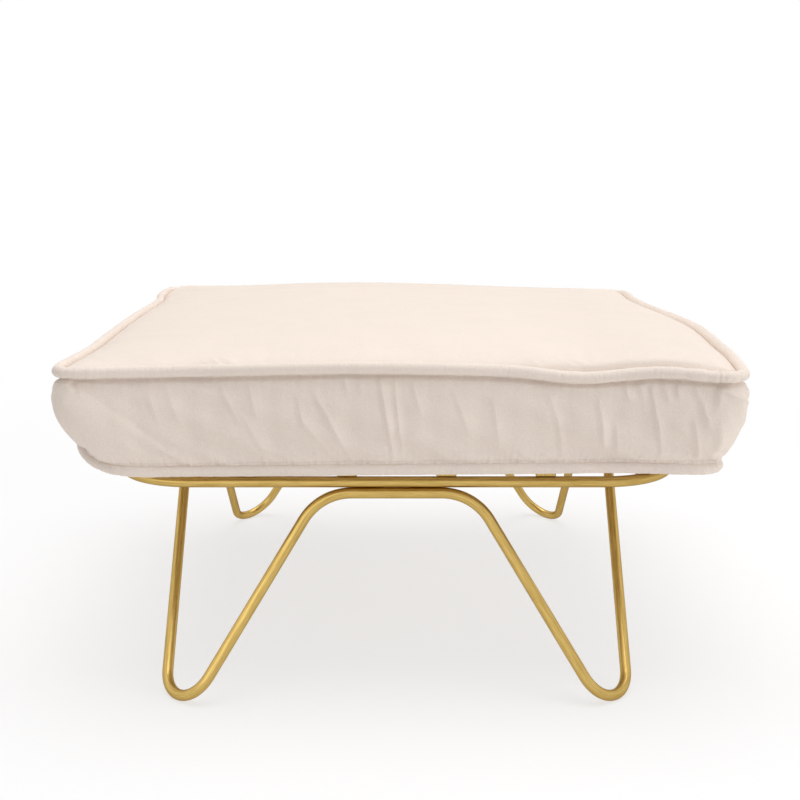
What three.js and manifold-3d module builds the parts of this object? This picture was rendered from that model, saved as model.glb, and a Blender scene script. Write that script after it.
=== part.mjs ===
// A low footstool: a frame bent from round steel rod with hairpin feet, six flat straps across the
// seat ring, and a loose boxed cushion with piped edges. Millimetres, +Z up, the front towards -Y.
// The origin is on the floor under the middle of the seat.
import * as THREE from 'three';
import { mergeVertices } from 'three/addons/utils/BufferGeometryUtils.js';
import Module from 'manifold-3d';

const wasm = await Module();
wasm.setup();

const { lerp, smoothstep, degToRad } = THREE.MathUtils;
const quarterTurn = Math.PI / 2;
const wholeTurn = Math.PI * 2;

// Frame: round rod and flat strap
const rodDiameter = 10;
const ringSpan = 510;
const ringCornerRadius = 70;
const ringTopHeight = 200;
const ringJointOffset = 110;
const topRunSpan = 138;
const topBendRadius = 50;
const footSpreadWide = 419;
const footSpreadDeep = 632;
const footBendRadius = 33;
const footFlatDepth = 0.4;
const sideRunSpread = 430;
const sideRunSpan = 146;
const sideBendRadius = 50;
const strapWidth = 18;
const strapThickness = 3;
const strapSpacing = 89;
const strapOverlap = 1.5;
const strapCornerRadius = 1.5;

// Welds
const weldGap = 0.3;
const jointWeldWidth = 1.2;
const strapWeldLength = 9;
const strapWeldLeg = 1.4;
const runWeldLength = 28;
const runWeldSpacing = 52;
const runWeldReach = 4.2;
const sideWeldLength = 24;
const sideWeldSpacing = 66;
const weldAngle = degToRad(25);

// Cushion: cover, piping, foam and wadding
const cushionSpan = 590;
const cushionDepth = 97;
const bottomInset = 10;
const sideInset = 6;
const topCornerRadius = 22;
const bottomCornerRadius = 45;
const cornerDrop = 5;
const cornerLift = 7;
const crownHeight = 13;
const undersideRise = 6;
const bottomSeamLift = 9;
const coverThickness = 1.5;
const bandInset = 2;
const bandBulge = 6;
const pipingDiameter = 10;
const pipingSlit = 1.2;
const pipingJointGap = 0.6;
const topSlitAngle = degToRad(225);
const bottomSlitAngle = degToRad(135);
const panelRimDrop = 1.5;
const softGap = 0.3;
const foamGap = 0.8;
const foamInset = 13;
const foamEdge = 12;
const foamTopRadius = 30;
const foamFootRadius = 46;
const waddingThickness = 9;

// Zip in the rear band, with its slider and pull
const zipLength = 312;
const zipOpeningWidth = 8;
const zipEndMargin = 14;
const zipTapeWidth = 11;
const zipTapeThickness = 0.8;
const zipTapeOverrun = 8;
const zipCoilWidth = 5;
const zipCoilThickness = 2;
const zipStopLength = 3;
const zipStopSkirt = 0.5;
const sliderLength = 9;
const sliderWall = 0.7;
const sliderPlate = 1.1;
const sliderGap = 0.3;
const bridgeWindowLength = 4.4;
const bridgeWindowHeight = 2.4;
const bridgeWall = 0.9;
const bridgeWidth = 1.8;
const pullPinDiameter = 1.2;
const pullThickness = 1;
const pullArm = 1;
const pullArmLength = 4.2;
const pullGap = 0.4;
const pullTabLength = 17;
const pullTabHoleDiameter = 2;

// Counts of copies and of the facets that round a curve
const strapCount = 6;
const rodSides = 12;
const pipingSides = 8;
const cordSides = 6;
const strapCornerSides = 2;
const beadSides = 4;
const pullSides = 10;
const turnStep = degToRad(16);
const ringTurnStep = degToRad(10);
const fewestBendSteps = 2;
const footPasses = 5;

// Shares and the powers that keep a height flat in the middle and turn it down at the rim
const panelRingShares = [1, 0.94, 0.84, 0.68, 0.4];
const cornerArcShares = [1 / 3, 2 / 3];
const cornerPower = 6;
const crownPower = 4;
const undersidePower = 8;
// The band from the top seam down: how far down, how far it still leans out, how far it bulges.
const bandRowShares = [
  { down: 0, lean: 1, bulge: 0 },
  { down: 0.1, lean: 0.9, bulge: 0.55 },
  { down: 0.22, lean: 0.7, bulge: 0.88 },
  { down: 0.35, lean: 0.5, bulge: 1 },
  { down: 0.65, lean: 0.5, bulge: 1 },
  { down: 0.78, lean: 0.3, bulge: 0.88 },
  { down: 0.9, lean: 0.1, bulge: 0.55 },
  { down: 1, lean: 0, bulge: 0 },
];
const rowsAboveZip = 4;

// Finishes
const goldSteel = new THREE.MeshStandardMaterial({ color: 0xc9a14e, roughness: 0.42, metalness: 0.75 });
const weldSteel = new THREE.MeshStandardMaterial({ color: 0xb88f40, roughness: 0.5, metalness: 0.75 });
const velvet = new THREE.MeshStandardMaterial({ color: 0xf2ded0, roughness: 0.95, metalness: 0 });
const cordCotton = new THREE.MeshStandardMaterial({ color: 0xeeeae0, roughness: 0.95, metalness: 0 });
const foam = new THREE.MeshStandardMaterial({ color: 0xf4e9b8, roughness: 0.98, metalness: 0 });
const fibre = new THREE.MeshStandardMaterial({ color: 0xf8f8f6, roughness: 1, metalness: 0 });
const zipTapeCloth = new THREE.MeshStandardMaterial({ color: 0xe9d8ca, roughness: 0.9, metalness: 0 });
const zipNylon = new THREE.MeshStandardMaterial({ color: 0xe6d6c8, roughness: 0.5, metalness: 0 });
const zipMetal = new THREE.MeshStandardMaterial({ color: 0xb9b4ab, roughness: 0.35, metalness: 1 });

const part = new THREE.Group();

function addPiece(name, geometry, material) {
  const piece = new THREE.Mesh(geometry, material);
  piece.name = name;
  part.add(piece);
  return piece;
}

function toSolid(geometry) {
  const bare = geometry.clone();
  bare.deleteAttribute('normal');
  bare.deleteAttribute('uv');
  const merged = mergeVertices(bare);
  const mesh = new wasm.Mesh({
    numProp: 3,
    vertProperties: Float32Array.from(merged.attributes.position.array),
    triVerts: Uint32Array.from(merged.index.array),
  });
  return new wasm.Manifold(mesh);
}

function toGeometry(solid) {
  const mesh = solid.getMesh();
  const geometry = new THREE.BufferGeometry();
  geometry.setAttribute('position', new THREE.BufferAttribute(mesh.vertProperties, 3));
  geometry.setIndex(new THREE.BufferAttribute(mesh.triVerts, 1));
  return geometry;
}

// Runs a flat shape out along Z, half to each side of its plane. An arc gets the given sides.
function extruded(shape, depth, sides = 2) {
  const settings = { depth, bevelEnabled: false, curveSegments: sides / 2 };
  return new THREE.ExtrudeGeometry(shape, settings).translate(0, 0, -depth / 2);
}

// Turns a geometry so that its own X, Y and Z run along the three directions.
function turned(geometry, x, y, z) {
  const axes = [x, y, z].map((direction) => new THREE.Vector3(...direction));
  return geometry.applyMatrix4(new THREE.Matrix4().makeBasis(...axes));
}

// A path given by its stations, one ring of a swept solid at each, so straights cost no rings.
class StationPath extends THREE.Curve {
  constructor(stations) {
    super();
    this.stations = stations;
  }

  stationAt(u) {
    return this.stations[Math.round(u * (this.stations.length - 1))];
  }

  getPointAt(u) {
    return this.stationAt(u).point.clone();
  }

  getTangentAt(u) {
    return this.stationAt(u).tangent.clone();
  }
}

// The same for a seam: the section's first axis points out of the cushion, its second one up.
class SeamPath extends StationPath {
  computeFrenetFrames() {
    const tangents = this.stations.map((station) => station.tangent.clone());
    const up = new THREE.Vector3(0, 0, 1);
    const normals = tangents.map((tangent) => up.clone().cross(tangent).normalize());
    const binormals = tangents.map((tangent, i) => tangent.clone().cross(normals[i]).normalize());
    return { tangents, normals, binormals };
  }
}

function sweep(section, path, sides) {
  const steps = path.stations.length - 1;
  return new THREE.ExtrudeGeometry(section, { steps, extrudePath: path, curveSegments: sides / 2 });
}

// One bend: the arc that rounds the corner between two straights, as stations along it.
function bend(before, corner, after, radius, step) {
  const toBefore = before.clone().sub(corner).normalize();
  const toAfter = after.clone().sub(corner).normalize();
  const opening = toBefore.angleTo(toAfter);
  const turn = Math.PI - opening;
  const middle = toBefore.clone().add(toAfter).normalize();
  const centre = corner.clone().addScaledVector(middle, radius / Math.sin(opening / 2));
  const axis = toAfter.clone().cross(toBefore).normalize();
  const setback = radius / Math.tan(opening / 2);
  const start = corner.clone().addScaledVector(toBefore, setback).sub(centre);
  const steps = Math.max(fewestBendSteps, Math.ceil(turn / step));
  return Array.from({ length: steps + 1 }, (_, i) => {
    const angle = (turn * i) / steps;
    const point = start.clone().applyAxisAngle(axis, angle).add(centre);
    const tangent = toBefore.clone().negate().applyAxisAngle(axis, angle);
    return { point, tangent };
  });
}

// A bent rod's stations: its two ends and the arc at each corner between them.
function rodStations(corners, step) {
  const last = corners.length - 1;
  const direction = (from, to) => to.at.clone().sub(from.at).normalize();
  const stations = [{ point: corners[0].at, tangent: direction(corners[0], corners[1]) }];
  for (let i = 1; i < last; i += 1) {
    const { at, radius } = corners[i];
    stations.push(...bend(corners[i - 1].at, at, corners[i + 1].at, radius, step));
  }
  stations.push({ point: corners[last].at, tangent: direction(corners[last - 1], corners[last]) });
  return stations;
}

function bentRod(corners, step) {
  const section = new THREE.Shape().absarc(0, 0, rodDiameter / 2, 0, wholeTurn);
  return sweep(section, new StationPath(rodStations(corners, step)), rodSides);
}

const rodRadius = rodDiameter / 2;
const ringHalf = ringSpan / 2;
const ringHeight = ringTopHeight - rodRadius;
const strapUnderside = ringTopHeight + weldGap;
const strapTop = strapUnderside + strapThickness;
const topRunHeight = ringHeight - rodDiameter - weldGap;
const jointHalf = jointWeldWidth / 2 + weldGap;

// Seat ring: one rod bent round four corners, its ends butted at the back
{
  const corner = (x, y, radius) => ({ at: new THREE.Vector3(x, y, ringHeight), radius });
  const stops = [
    corner(ringJointOffset - jointHalf, ringHalf),
    corner(-ringHalf, ringHalf, ringCornerRadius),
    corner(-ringHalf, -ringHalf, ringCornerRadius),
    corner(ringHalf, -ringHalf, ringCornerRadius),
    corner(ringHalf, ringHalf, ringCornerRadius),
    corner(ringJointOffset + jointHalf, ringHalf),
  ];
  addPiece('seat_ring', bentRod(stops, ringTurnStep), goldSteel);
}

// Butt weld: a disc ground flush between two rod ends
function jointWeld(name, x, y, alongX) {
  const disc = new THREE.CylinderGeometry(rodRadius, rodRadius, jointWeldWidth, rodSides);
  const piece = addPiece(name, disc, weldSteel);
  piece.position.set(x, y, ringHeight);
  piece.rotation.z = alongX ? quarterTurn : 0;
}

jointWeld('ring_joint_weld', ringJointOffset, ringHalf, true);

// Base rods: front and rear halves of one endless line of rod. Each runs from the middle of one
// side, down to a hairpin foot, up to the top run under the seat rail, and the same way back.
const sideHalf = sideRunSpread / 2;
const sideCornerY = sideRunSpan / 2;
const footHalfX = footSpreadWide / 2;
const footHalfY = footSpreadDeep / 2;
const runHalf = topRunSpan / 2;

// The height of the foot's sharp corner that brings the bend's outside just under the floor.
function footCornerHeight() {
  const side = new THREE.Vector3(sideHalf, sideCornerY, ringHeight);
  const top = new THREE.Vector3(runHalf, ringHalf, topRunHeight);
  let height = 0;
  for (let pass = 0; pass < footPasses; pass += 1) {
    const foot = new THREE.Vector3(footHalfX, footHalfY, height);
    const arc = bend(side, foot, top, footBendRadius, turnStep);
    const lowest = Math.min(...arc.map((station) => station.point.z));
    height += rodRadius - footFlatDepth - lowest;
  }
  return height;
}

{
  const footHeight = footCornerHeight();
  const floorSlab = new THREE.BoxGeometry(footSpreadWide, footSpreadDeep, rodDiameter);
  floorSlab.translate(0, 0, -rodDiameter / 2);
  for (const [name, front] of [['base_rod_front', -1], ['base_rod_rear', 1]]) {
    const corner = (x, y, z, radius) => ({ at: new THREE.Vector3(x, front * y, z), radius });
    const stops = [
      corner(-sideHalf, jointHalf, ringHeight),
      corner(-sideHalf, sideCornerY, ringHeight, sideBendRadius),
      corner(-footHalfX, footHalfY, footHeight, footBendRadius),
      corner(-runHalf, ringHalf, topRunHeight, topBendRadius),
      corner(runHalf, ringHalf, topRunHeight, topBendRadius),
      corner(footHalfX, footHalfY, footHeight, footBendRadius),
      corner(sideHalf, sideCornerY, ringHeight, sideBendRadius),
      corner(sideHalf, jointHalf, ringHeight),
    ];
    // A small flat is ground under each foot, so that the stool stands on four level faces.
    const rod = toSolid(bentRod(stops, turnStep)).subtract(toSolid(floorSlab));
    addPiece(name, toGeometry(rod), goldSteel);
  }
}

jointWeld('base_joint_weld_left', -sideHalf, 0, false);
jointWeld('base_joint_weld_right', sideHalf, 0, false);

// Straps: flat steel laid front to back on the ring
const strapPlaces = Array.from({ length: strapCount }, (_, i) => (i - (strapCount - 1) / 2) * strapSpacing);

// Where the ring's rod passes a strap's middle, the direction from there into the ring, and the
// room that a straight weld needs where the ring bends towards it.
function ringUnderStrap(place) {
  const intoCorner = Math.max(0, Math.abs(place) - ringHalf + ringCornerRadius);
  const angle = Math.asin(intoCorner / ringCornerRadius);
  const reach = ringHalf - ringCornerRadius * (1 - Math.cos(angle));
  const inward = new THREE.Vector2(-Math.sign(place) * Math.sin(angle), -Math.cos(angle));
  const room = intoCorner > 0 ? 2 * ringCornerRadius * (1 - Math.cos(ringTurnStep / 2)) : 0;
  return { reach, inward, room };
}

function strapGeometry(reach) {
  const innerX = strapWidth / 2 - strapCornerRadius;
  const innerY = reach + strapOverlap - strapCornerRadius;
  const shape = new THREE.Shape();
  [[1, 1], [-1, 1], [-1, -1], [1, -1]].forEach(([x, y], corner) => {
    const start = corner * quarterTurn;
    shape.absarc(x * innerX, y * innerY, strapCornerRadius, start, start + quarterTurn);
  });
  return extruded(shape, strapThickness, strapCornerSides);
}

strapPlaces.forEach((place, i) => {
  const strap = strapGeometry(ringUnderStrap(place).reach);
  const height = strapUnderside + strapThickness / 2;
  addPiece(`strap_${i + 1}`, strap, goldSteel).position.set(place, 0, height);
});

// A bead in the corner between a rod and the flat strap lying on it. Its section is drawn with the
// rod's centre at the origin, the strap above and the bead to the right.
function strapBead(length) {
  const reach = rodRadius + weldGap;
  const tipAngle = Math.asin(rodRadius / reach);
  const shape = new THREE.Shape();
  shape.absarc(0, 0, reach, weldAngle, tipAngle);
  shape.lineTo(reach * Math.cos(weldAngle) + strapWeldLeg, rodRadius);
  return extruded(shape, length, beadSides);
}

// A bead in the groove between the seat rail and the run under it, drawn with the origin midway.
function runBead(length) {
  const reach = rodRadius + weldGap;
  const rise = rodRadius + weldGap / 2;
  const tip = Math.asin(rise / reach);
  const edge = Math.acos(runWeldReach / reach);
  const shape = new THREE.Shape();
  shape.absarc(0, rise, reach, -edge, -tip, true);
  shape.absarc(0, -rise, reach, tip, edge, true);
  return extruded(shape, length, beadSides);
}

// Places a bead with the right of its section along X or Y, its top up, and its length level.
function placeBead(name, bead, x, y, z, [outX, outY]) {
  turned(bead, [outX, outY, 0], [0, 0, 1], [outY, -outX, 0]);
  addPiece(name, bead, weldSteel).position.set(x, y, z);
}

for (const [side, front] of [['front', -1], ['rear', 1]]) {
  strapPlaces.forEach((place, i) => {
    const { reach, inward, room } = ringUnderStrap(place);
    const x = place + inward.x * room;
    const y = front * (reach + inward.y * room);
    const name = `strap_weld_${side}_${i + 1}`;
    placeBead(name, strapBead(strapWeldLength), x, y, ringHeight, [inward.x, front * inward.y]);
  });
  for (const [end, out] of [['left', -1], ['right', 1]]) {
    const groove = (ringHeight + topRunHeight) / 2;
    const x = (out * runWeldSpacing) / 2;
    placeBead(`run_weld_${side}_${end}`, runBead(runWeldLength), x, front * ringHalf, groove, [0, -front]);
    const y = (front * sideWeldSpacing) / 2;
    const bead = strapBead(sideWeldLength);
    placeBead(`side_weld_${side}_${end}`, bead, out * sideHalf, y, ringHeight, [out, 0]);
  }
}

// Cushion heights and half sizes
const pipingRadius = pipingDiameter / 2;
const cushionBottom = strapTop + softGap;
const topSeamHeight = cushionBottom + cushionDepth;
const bottomSeamHeight = cushionBottom + bottomSeamLift;
const topSeamHalf = cushionSpan / 2 - pipingRadius;
const bottomSeamHalf = topSeamHalf - bottomInset;
const straightHalf = zipLength / 2 + zipEndMargin;

// A seam's outline from above, clockwise from the middle of the rear side: straight in the middle for
// the zip, easing out to the corners, and round at each. Every outline has the same stations.
function outline(half, radius) {
  const edge = half - radius;
  const halfway = (straightHalf + edge) / 2;
  const flare = (along) => half - sideInset * (1 - smoothstep(along, straightHalf, edge));
  const arc = cornerArcShares.map((share) => {
    const angle = quarterTurn * share;
    return [edge + radius * Math.sin(angle), edge + radius * Math.cos(angle)];
  });
  const quarter = [
    [0, flare(0)],
    [straightHalf, flare(straightHalf)],
    [halfway, flare(halfway)],
    [edge, half],
    ...arc,
    [half, edge],
    [flare(halfway), halfway],
    [flare(straightHalf), straightHalf],
  ];
  const middle = new THREE.Vector2(0, 0);
  return [0, 1, 2, 3].flatMap((turn) => quarter.map(([x, y]) => {
    return new THREE.Vector2(x, y).rotateAround(middle, -turn * quarterTurn);
  }));
}

// How near a place is to a corner: 1 at the corner of the square, 0 along the middles.
function cornerShare(plan, half) {
  return Math.abs((plan.x * plan.y) / (half * half)) ** cornerPower;
}

function topSeam(plan) {
  return topSeamHeight - cornerDrop * cornerShare(plan, topSeamHalf);
}

function bottomSeam(plan) {
  return bottomSeamHeight + cornerLift * cornerShare(plan, bottomSeamHalf);
}

function dome(plan, half, power) {
  return (1 - Math.abs(plan.x / half) ** power) * (1 - Math.abs(plan.y / half) ** power);
}

function lift(plan, height) {
  return new THREE.Vector3(plan.x, plan.y, height);
}

// Builds the geometry and turns its triangles over if they face inwards.
function closedGeometry(points, index) {
  let volume = 0;
  for (let i = 0; i < index.length; i += 3) {
    const [a, b, c] = index.slice(i, i + 3).map((corner) => points[corner]);
    volume += a.dot(b.clone().cross(c));
  }
  const geometry = new THREE.BufferGeometry().setFromPoints(points);
  geometry.setIndex(volume > 0 ? index : index.reverse());
  return geometry;
}

// Closes a surface through loops of points. The first and last are single points, its poles.
function skin(loops) {
  const index = [];
  let low = 0;
  for (let k = 0; k + 1 < loops.length; k += 1) {
    const [lowCount, highCount] = [loops[k].length, loops[k + 1].length];
    const high = low + lowCount;
    for (let i = 0; i < Math.max(lowCount, highCount); i += 1) {
      const below = [low + (i % lowCount), low + ((i + 1) % lowCount)];
      const above = [high + (i % highCount), high + ((i + 1) % highCount)];
      if (lowCount > 1) index.push(below[0], above[0], below[1]);
      if (highCount > 1) index.push(below[1], above[0], above[1]);
    }
    low = high;
  }
  return closedGeometry(loops.flat(), index);
}

// A strip with thickness: each section is its outer face downwards, then its inner face upwards.
function strip(sections) {
  const count = sections[0].length;
  const index = [];
  for (let k = 0; k + 1 < sections.length; k += 1) {
    for (let i = 0; i < count; i += 1) {
      const next = (i + 1) % count;
      const here = k * count;
      const there = here + count;
      index.push(here + i, there + next, there + i);
      index.push(here + i, here + next, there + next);
    }
  }
  const end = (sections.length - 1) * count;
  for (let i = 0; i + 1 < count / 2; i += 1) {
    const back = count - 1 - i;
    index.push(i, back, back - 1, i, back - 1, i + 1);
    index.push(end + i, end + back - 1, end + back, end + i, end + i + 1, end + back - 1);
  }
  return closedGeometry(sections.flat(), index);
}

// Loops on a height function, from the middle of the cushion out to a rim, in shares of the rim.
function spread(rim, height, shares) {
  const scaled = (share) => rim.map((plan) => plan.clone().multiplyScalar(share));
  const pole = [new THREE.Vector2(0, 0)];
  const loops = [pole, ...[...shares].reverse().map(scaled)];
  return loops.map((loop) => loop.map((plan) => lift(plan, height(plan))));
}

// A sheet between two height functions, from its middle out to the rim and back.
function sheet(rim, under, over, shares) {
  return skin([...spread(rim, under, shares), ...spread(rim, over, shares).reverse()]);
}

// Top panel, inside the top piping, rising to its crown
const topPanelHalf = topSeamHalf - pipingRadius - softGap;
const topPanelRim = outline(topPanelHalf, topCornerRadius - pipingRadius);

function panelTop(plan) {
  return topSeam(plan) - panelRimDrop + crownHeight * dome(plan, topPanelHalf, crownPower);
}

function panelInside(plan) {
  return panelTop(plan) - coverThickness;
}

addPiece('cover_top_panel', sheet(topPanelRim, panelInside, panelTop, panelRingShares), velvet);

// Bottom panel, flat on the straps and rising to the bottom piping
const bottomPanelHalf = bottomSeamHalf - pipingRadius - softGap;
const bottomPanelRim = outline(bottomPanelHalf, bottomCornerRadius - pipingRadius);

function underside(plan) {
  const rise = undersideRise * (1 - dome(plan, bottomPanelHalf, undersidePower));
  return cushionBottom + rise + cornerLift * cornerShare(plan, bottomPanelHalf);
}

function undersideInside(plan) {
  return underside(plan) + coverThickness;
}

addPiece('cover_bottom_panel', sheet(bottomPanelRim, underside, undersideInside, panelRingShares), velvet);

// Band rows: the outlines of the boxing at each row, outside or inside the cloth
function bandLoop(row, inset) {
  const seamHalf = lerp(bottomSeamHalf, topSeamHalf, row.lean);
  const half = seamHalf - bandInset + bandBulge * row.bulge - inset;
  const radius = lerp(topCornerRadius, bottomCornerRadius, row.down) - bandInset - inset;
  return outline(half, radius).map((plan) => {
    const top = topSeam(plan) - pipingRadius - softGap;
    const bottom = bottomSeam(plan) + pipingRadius + softGap;
    return lift(plan, lerp(top, bottom, row.down));
  });
}

const outerRows = bandRowShares.map((row) => bandLoop(row, 0));
const innerRows = bandRowShares.map((row) => bandLoop(row, coverThickness));

// Side band: one strip round both sides and the front, sewn to the zip bands at the back
{
  const stations = topPanelRim.map((_, i) => i).slice(1);
  const sections = stations.map((i) => [
    ...outerRows.map((loop) => loop[i]),
    ...innerRows.map((loop) => loop[i]).reverse(),
  ]);
  addPiece('side_band', strip(sections), velvet);
}

// Zip bands: the rear of the boxing above and below the zip, each ending at the opening
const rowOverZip = outerRows[rowsAboveZip - 1][0];
const rowUnderZip = outerRows[rowsAboveZip][0];
const zipHeight = (rowOverZip.z + rowUnderZip.z) / 2;
const bandFace = rowOverZip.y;
const zipBandHalf = straightHalf - softGap;

function upperProfile(rows) {
  const kept = rows.slice(0, rowsAboveZip).map((loop) => loop[0]);
  return [...kept, rowOverZip.clone().setY(kept.at(-1).y).setZ(zipHeight + zipOpeningWidth / 2)];
}

function lowerProfile(rows) {
  const kept = rows.slice(rowsAboveZip).map((loop) => loop[0]);
  return [rowUnderZip.clone().setY(kept[0].y).setZ(zipHeight - zipOpeningWidth / 2), ...kept];
}

for (const [name, profile] of [['zip_band_upper', upperProfile], ['zip_band_lower', lowerProfile]]) {
  const section = [...profile(outerRows), ...profile(innerRows).reverse()];
  const sections = [-zipBandHalf, zipBandHalf].map((x) => section.map((point) => point.clone().setX(x)));
  addPiece(name, strip(sections), velvet);
}

// Piping: a bias strip wrapped round a cord, open along the seam where it is sewn in
function seamStations(half, radius, height) {
  const loop = outline(half, radius).map((plan) => lift(plan, height(plan)));
  const count = loop.length;
  const stations = loop.map((point, i) => {
    const ahead = loop[(i + 1) % count].clone().sub(point).normalize();
    const behind = point.clone().sub(loop[(i + count - 1) % count]).normalize();
    return { point, tangent: ahead.add(behind).normalize() };
  });
  const { point, tangent } = stations[0];
  const offset = tangent.clone().multiplyScalar(pipingJointGap / 2);
  const start = { point: point.clone().add(offset), tangent };
  const end = { point: point.clone().sub(offset), tangent };
  return [start, ...stations.slice(1), end];
}

function addPiping(name, half, radius, height, slitAngle) {
  const path = new SeamPath(seamStations(half, radius, height));
  const inner = pipingRadius - coverThickness;
  const outerSlit = pipingSlit / 2 / pipingRadius;
  const innerSlit = pipingSlit / 2 / inner;
  const wrap = new THREE.Shape();
  wrap.absarc(0, 0, pipingRadius, slitAngle + outerSlit, slitAngle + wholeTurn - outerSlit);
  wrap.absarc(0, 0, inner, slitAngle + wholeTurn - innerSlit, slitAngle + innerSlit, true);
  addPiece(`${name}_piping`, sweep(wrap, path, pipingSides), velvet);
  const cord = new THREE.Shape().absarc(0, 0, inner - softGap, 0, wholeTurn);
  addPiece(`${name}_piping_cord`, sweep(cord, path, cordSides), cordCotton);
}

addPiping('top', topSeamHalf, topCornerRadius, topSeam, topSlitAngle);
addPiping('bottom', bottomSeamHalf, bottomCornerRadius, bottomSeam, bottomSlitAngle);

// Foam block, rounded at its edges by the tight cover, with a fibre sheet between it and the top
{
  const innerShares = panelRingShares.slice(1);
  const overWadding = (plan) => panelInside(plan) - softGap;
  const underWadding = (plan) => overWadding(plan) - waddingThickness;
  addPiece('top_wadding', sheet(topPanelRim, underWadding, overWadding, innerShares), fibre);

  const foamFoot = (plan) => undersideInside(plan) + foamGap;
  const foamHead = (plan) => underWadding(plan) - softGap;
  const level = (half, radius, height) => outline(half, radius).map((plan) => lift(plan, height));
  const wide = topSeamHalf - foamInset;
  const narrow = bottomSeamHalf - foamInset;
  const lowLevel = bottomSeamHeight + foamEdge;
  const highLevel = topSeamHeight - waddingThickness - foamEdge;
  const block = [
    ...spread(bottomPanelRim, foamFoot, innerShares),
    level(narrow, foamFootRadius, lowLevel),
    level(wide, foamTopRadius, (lowLevel + highLevel) / 2),
    level(wide, foamTopRadius, highLevel),
    ...spread(topPanelRim, foamHead, innerShares).reverse(),
  ];
  addPiece('foam_core', skin(block), foam);
}

// Zip tapes, coil and end stops behind the opening in the rear band
const tapeFace = bandFace - coverThickness - softGap;
const coilBack = tapeFace + softGap;

for (const [name, up] of [['zip_tape_upper', 1], ['zip_tape_lower', -1]]) {
  const length = zipLength + zipTapeOverrun * 2;
  const tape = new THREE.BoxGeometry(length, zipTapeThickness, zipTapeWidth);
  const height = zipHeight + up * (softGap + zipTapeWidth / 2);
  addPiece(name, tape, zipTapeCloth).position.set(0, tapeFace - zipTapeThickness / 2, height);
}

// The zip's sections are drawn from its back outwards and run out along the band.
function alongZip(points, length) {
  const section = new THREE.Shape(points.map(([up, out]) => new THREE.Vector2(up, out)));
  return turned(extruded(section, length), [0, 0, 1], [0, 1, 0], [-1, 0, 0]);
}

{
  const half = zipCoilWidth / 2;
  const crest = zipCoilThickness / 2;
  const section = [
    [-half, 0],
    [half, 0],
    [half, crest],
    [half - crest, zipCoilThickness],
    [crest - half, zipCoilThickness],
    [-half, crest],
  ];
  addPiece('zip_coil', alongZip(section, zipLength), zipNylon).position.set(0, coilBack, zipHeight);
}

for (const [name, side] of [['zip_stop_left', -1], ['zip_stop_right', 1]]) {
  const depth = zipCoilThickness + zipStopSkirt;
  const stop = new THREE.BoxGeometry(zipStopLength, depth, zipCoilWidth + zipStopSkirt);
  const x = side * (zipLength / 2 + softGap + zipStopLength / 2);
  addPiece(name, stop, zipMetal).position.set(x, coilBack + depth / 2, zipHeight);
}

// Slider: a channel over the coil, with a bridge on its back for the pull's pin
const sliderPlace = zipLength / 2 - sliderLength / 2;
const plateBack = zipCoilThickness + sliderGap;
const plateFace = plateBack + sliderPlate;
const windowTop = plateFace + bridgeWindowHeight;

{
  const inside = zipCoilWidth / 2 + sliderGap;
  const outside = inside + sliderWall;
  const channel = alongZip([
    [-outside, sliderGap],
    [-inside, sliderGap],
    [-inside, plateBack],
    [inside, plateBack],
    [inside, sliderGap],
    [outside, sliderGap],
    [outside, plateFace],
    [-outside, plateFace],
  ], sliderLength);
  const windowHalf = bridgeWindowLength / 2;
  const bridgeHalf = windowHalf + bridgeWall;
  const bridgeFoot = plateFace - sliderPlate / 2;
  const arch = new THREE.Shape([
    [-bridgeHalf, bridgeFoot],
    [-windowHalf, bridgeFoot],
    [-windowHalf, windowTop],
    [windowHalf, windowTop],
    [windowHalf, bridgeFoot],
    [bridgeHalf, bridgeFoot],
    [bridgeHalf, windowTop],
    [windowHalf, windowTop + bridgeWall],
    [-windowHalf, windowTop + bridgeWall],
    [-bridgeHalf, windowTop],
  ].map(([x, y]) => new THREE.Vector2(x, y)));
  const slider = toSolid(channel).add(toSolid(extruded(arch, bridgeWidth)));
  addPiece('zip_slider', toGeometry(slider), zipMetal).position.set(sliderPlace, coilBack, zipHeight);
}

// Pull: two arms beside the bridge, joined by the pin through it and by a tab beyond it
{
  const armIn = bridgeWidth / 2 + pullGap;
  const armOut = armIn + pullArm;
  const pinRadius = pullPinDiameter / 2;
  const tabCentre = armOut - pullArmLength - pullTabLength;
  const plate = new THREE.Shape();
  plate.moveTo(pinRadius, -armOut);
  plate.lineTo(pinRadius, armOut);
  plate.lineTo(tabCentre, armOut);
  plate.absarc(tabCentre, 0, armOut, quarterTurn, 3 * quarterTurn);
  const slot = new THREE.Path();
  slot.moveTo(-pinRadius, -armIn);
  slot.lineTo(-pullArmLength, -armIn);
  slot.lineTo(-pullArmLength, armIn);
  slot.lineTo(-pinRadius, armIn);
  const eye = new THREE.Path().absarc(tabCentre, 0, pullTabHoleDiameter / 2, 0, wholeTurn);
  plate.holes.push(slot, eye);
  const tab = turned(extruded(plate, pullThickness, pullSides), [1, 0, 0], [0, 0, 1], [0, -1, 0]);
  const pinPlace = coilBack + (plateFace + windowTop) / 2;
  addPiece('zip_pull', tab, zipMetal).position.set(sliderPlace, pinPlace, zipHeight);
}

export default part;
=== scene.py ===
# %% [markdown]
# # A velvet footstool on a gold wire frame
#
# The stool is a loose boxed cushion in pale velvet on a frame bent from 10 mm steel rod.
# The frame of construction is loaded first. It says where every piece sits, so nothing below is
# fitted by eye to a neighbour. Lengths are written in millimetres and become metres in the mesh.

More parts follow.
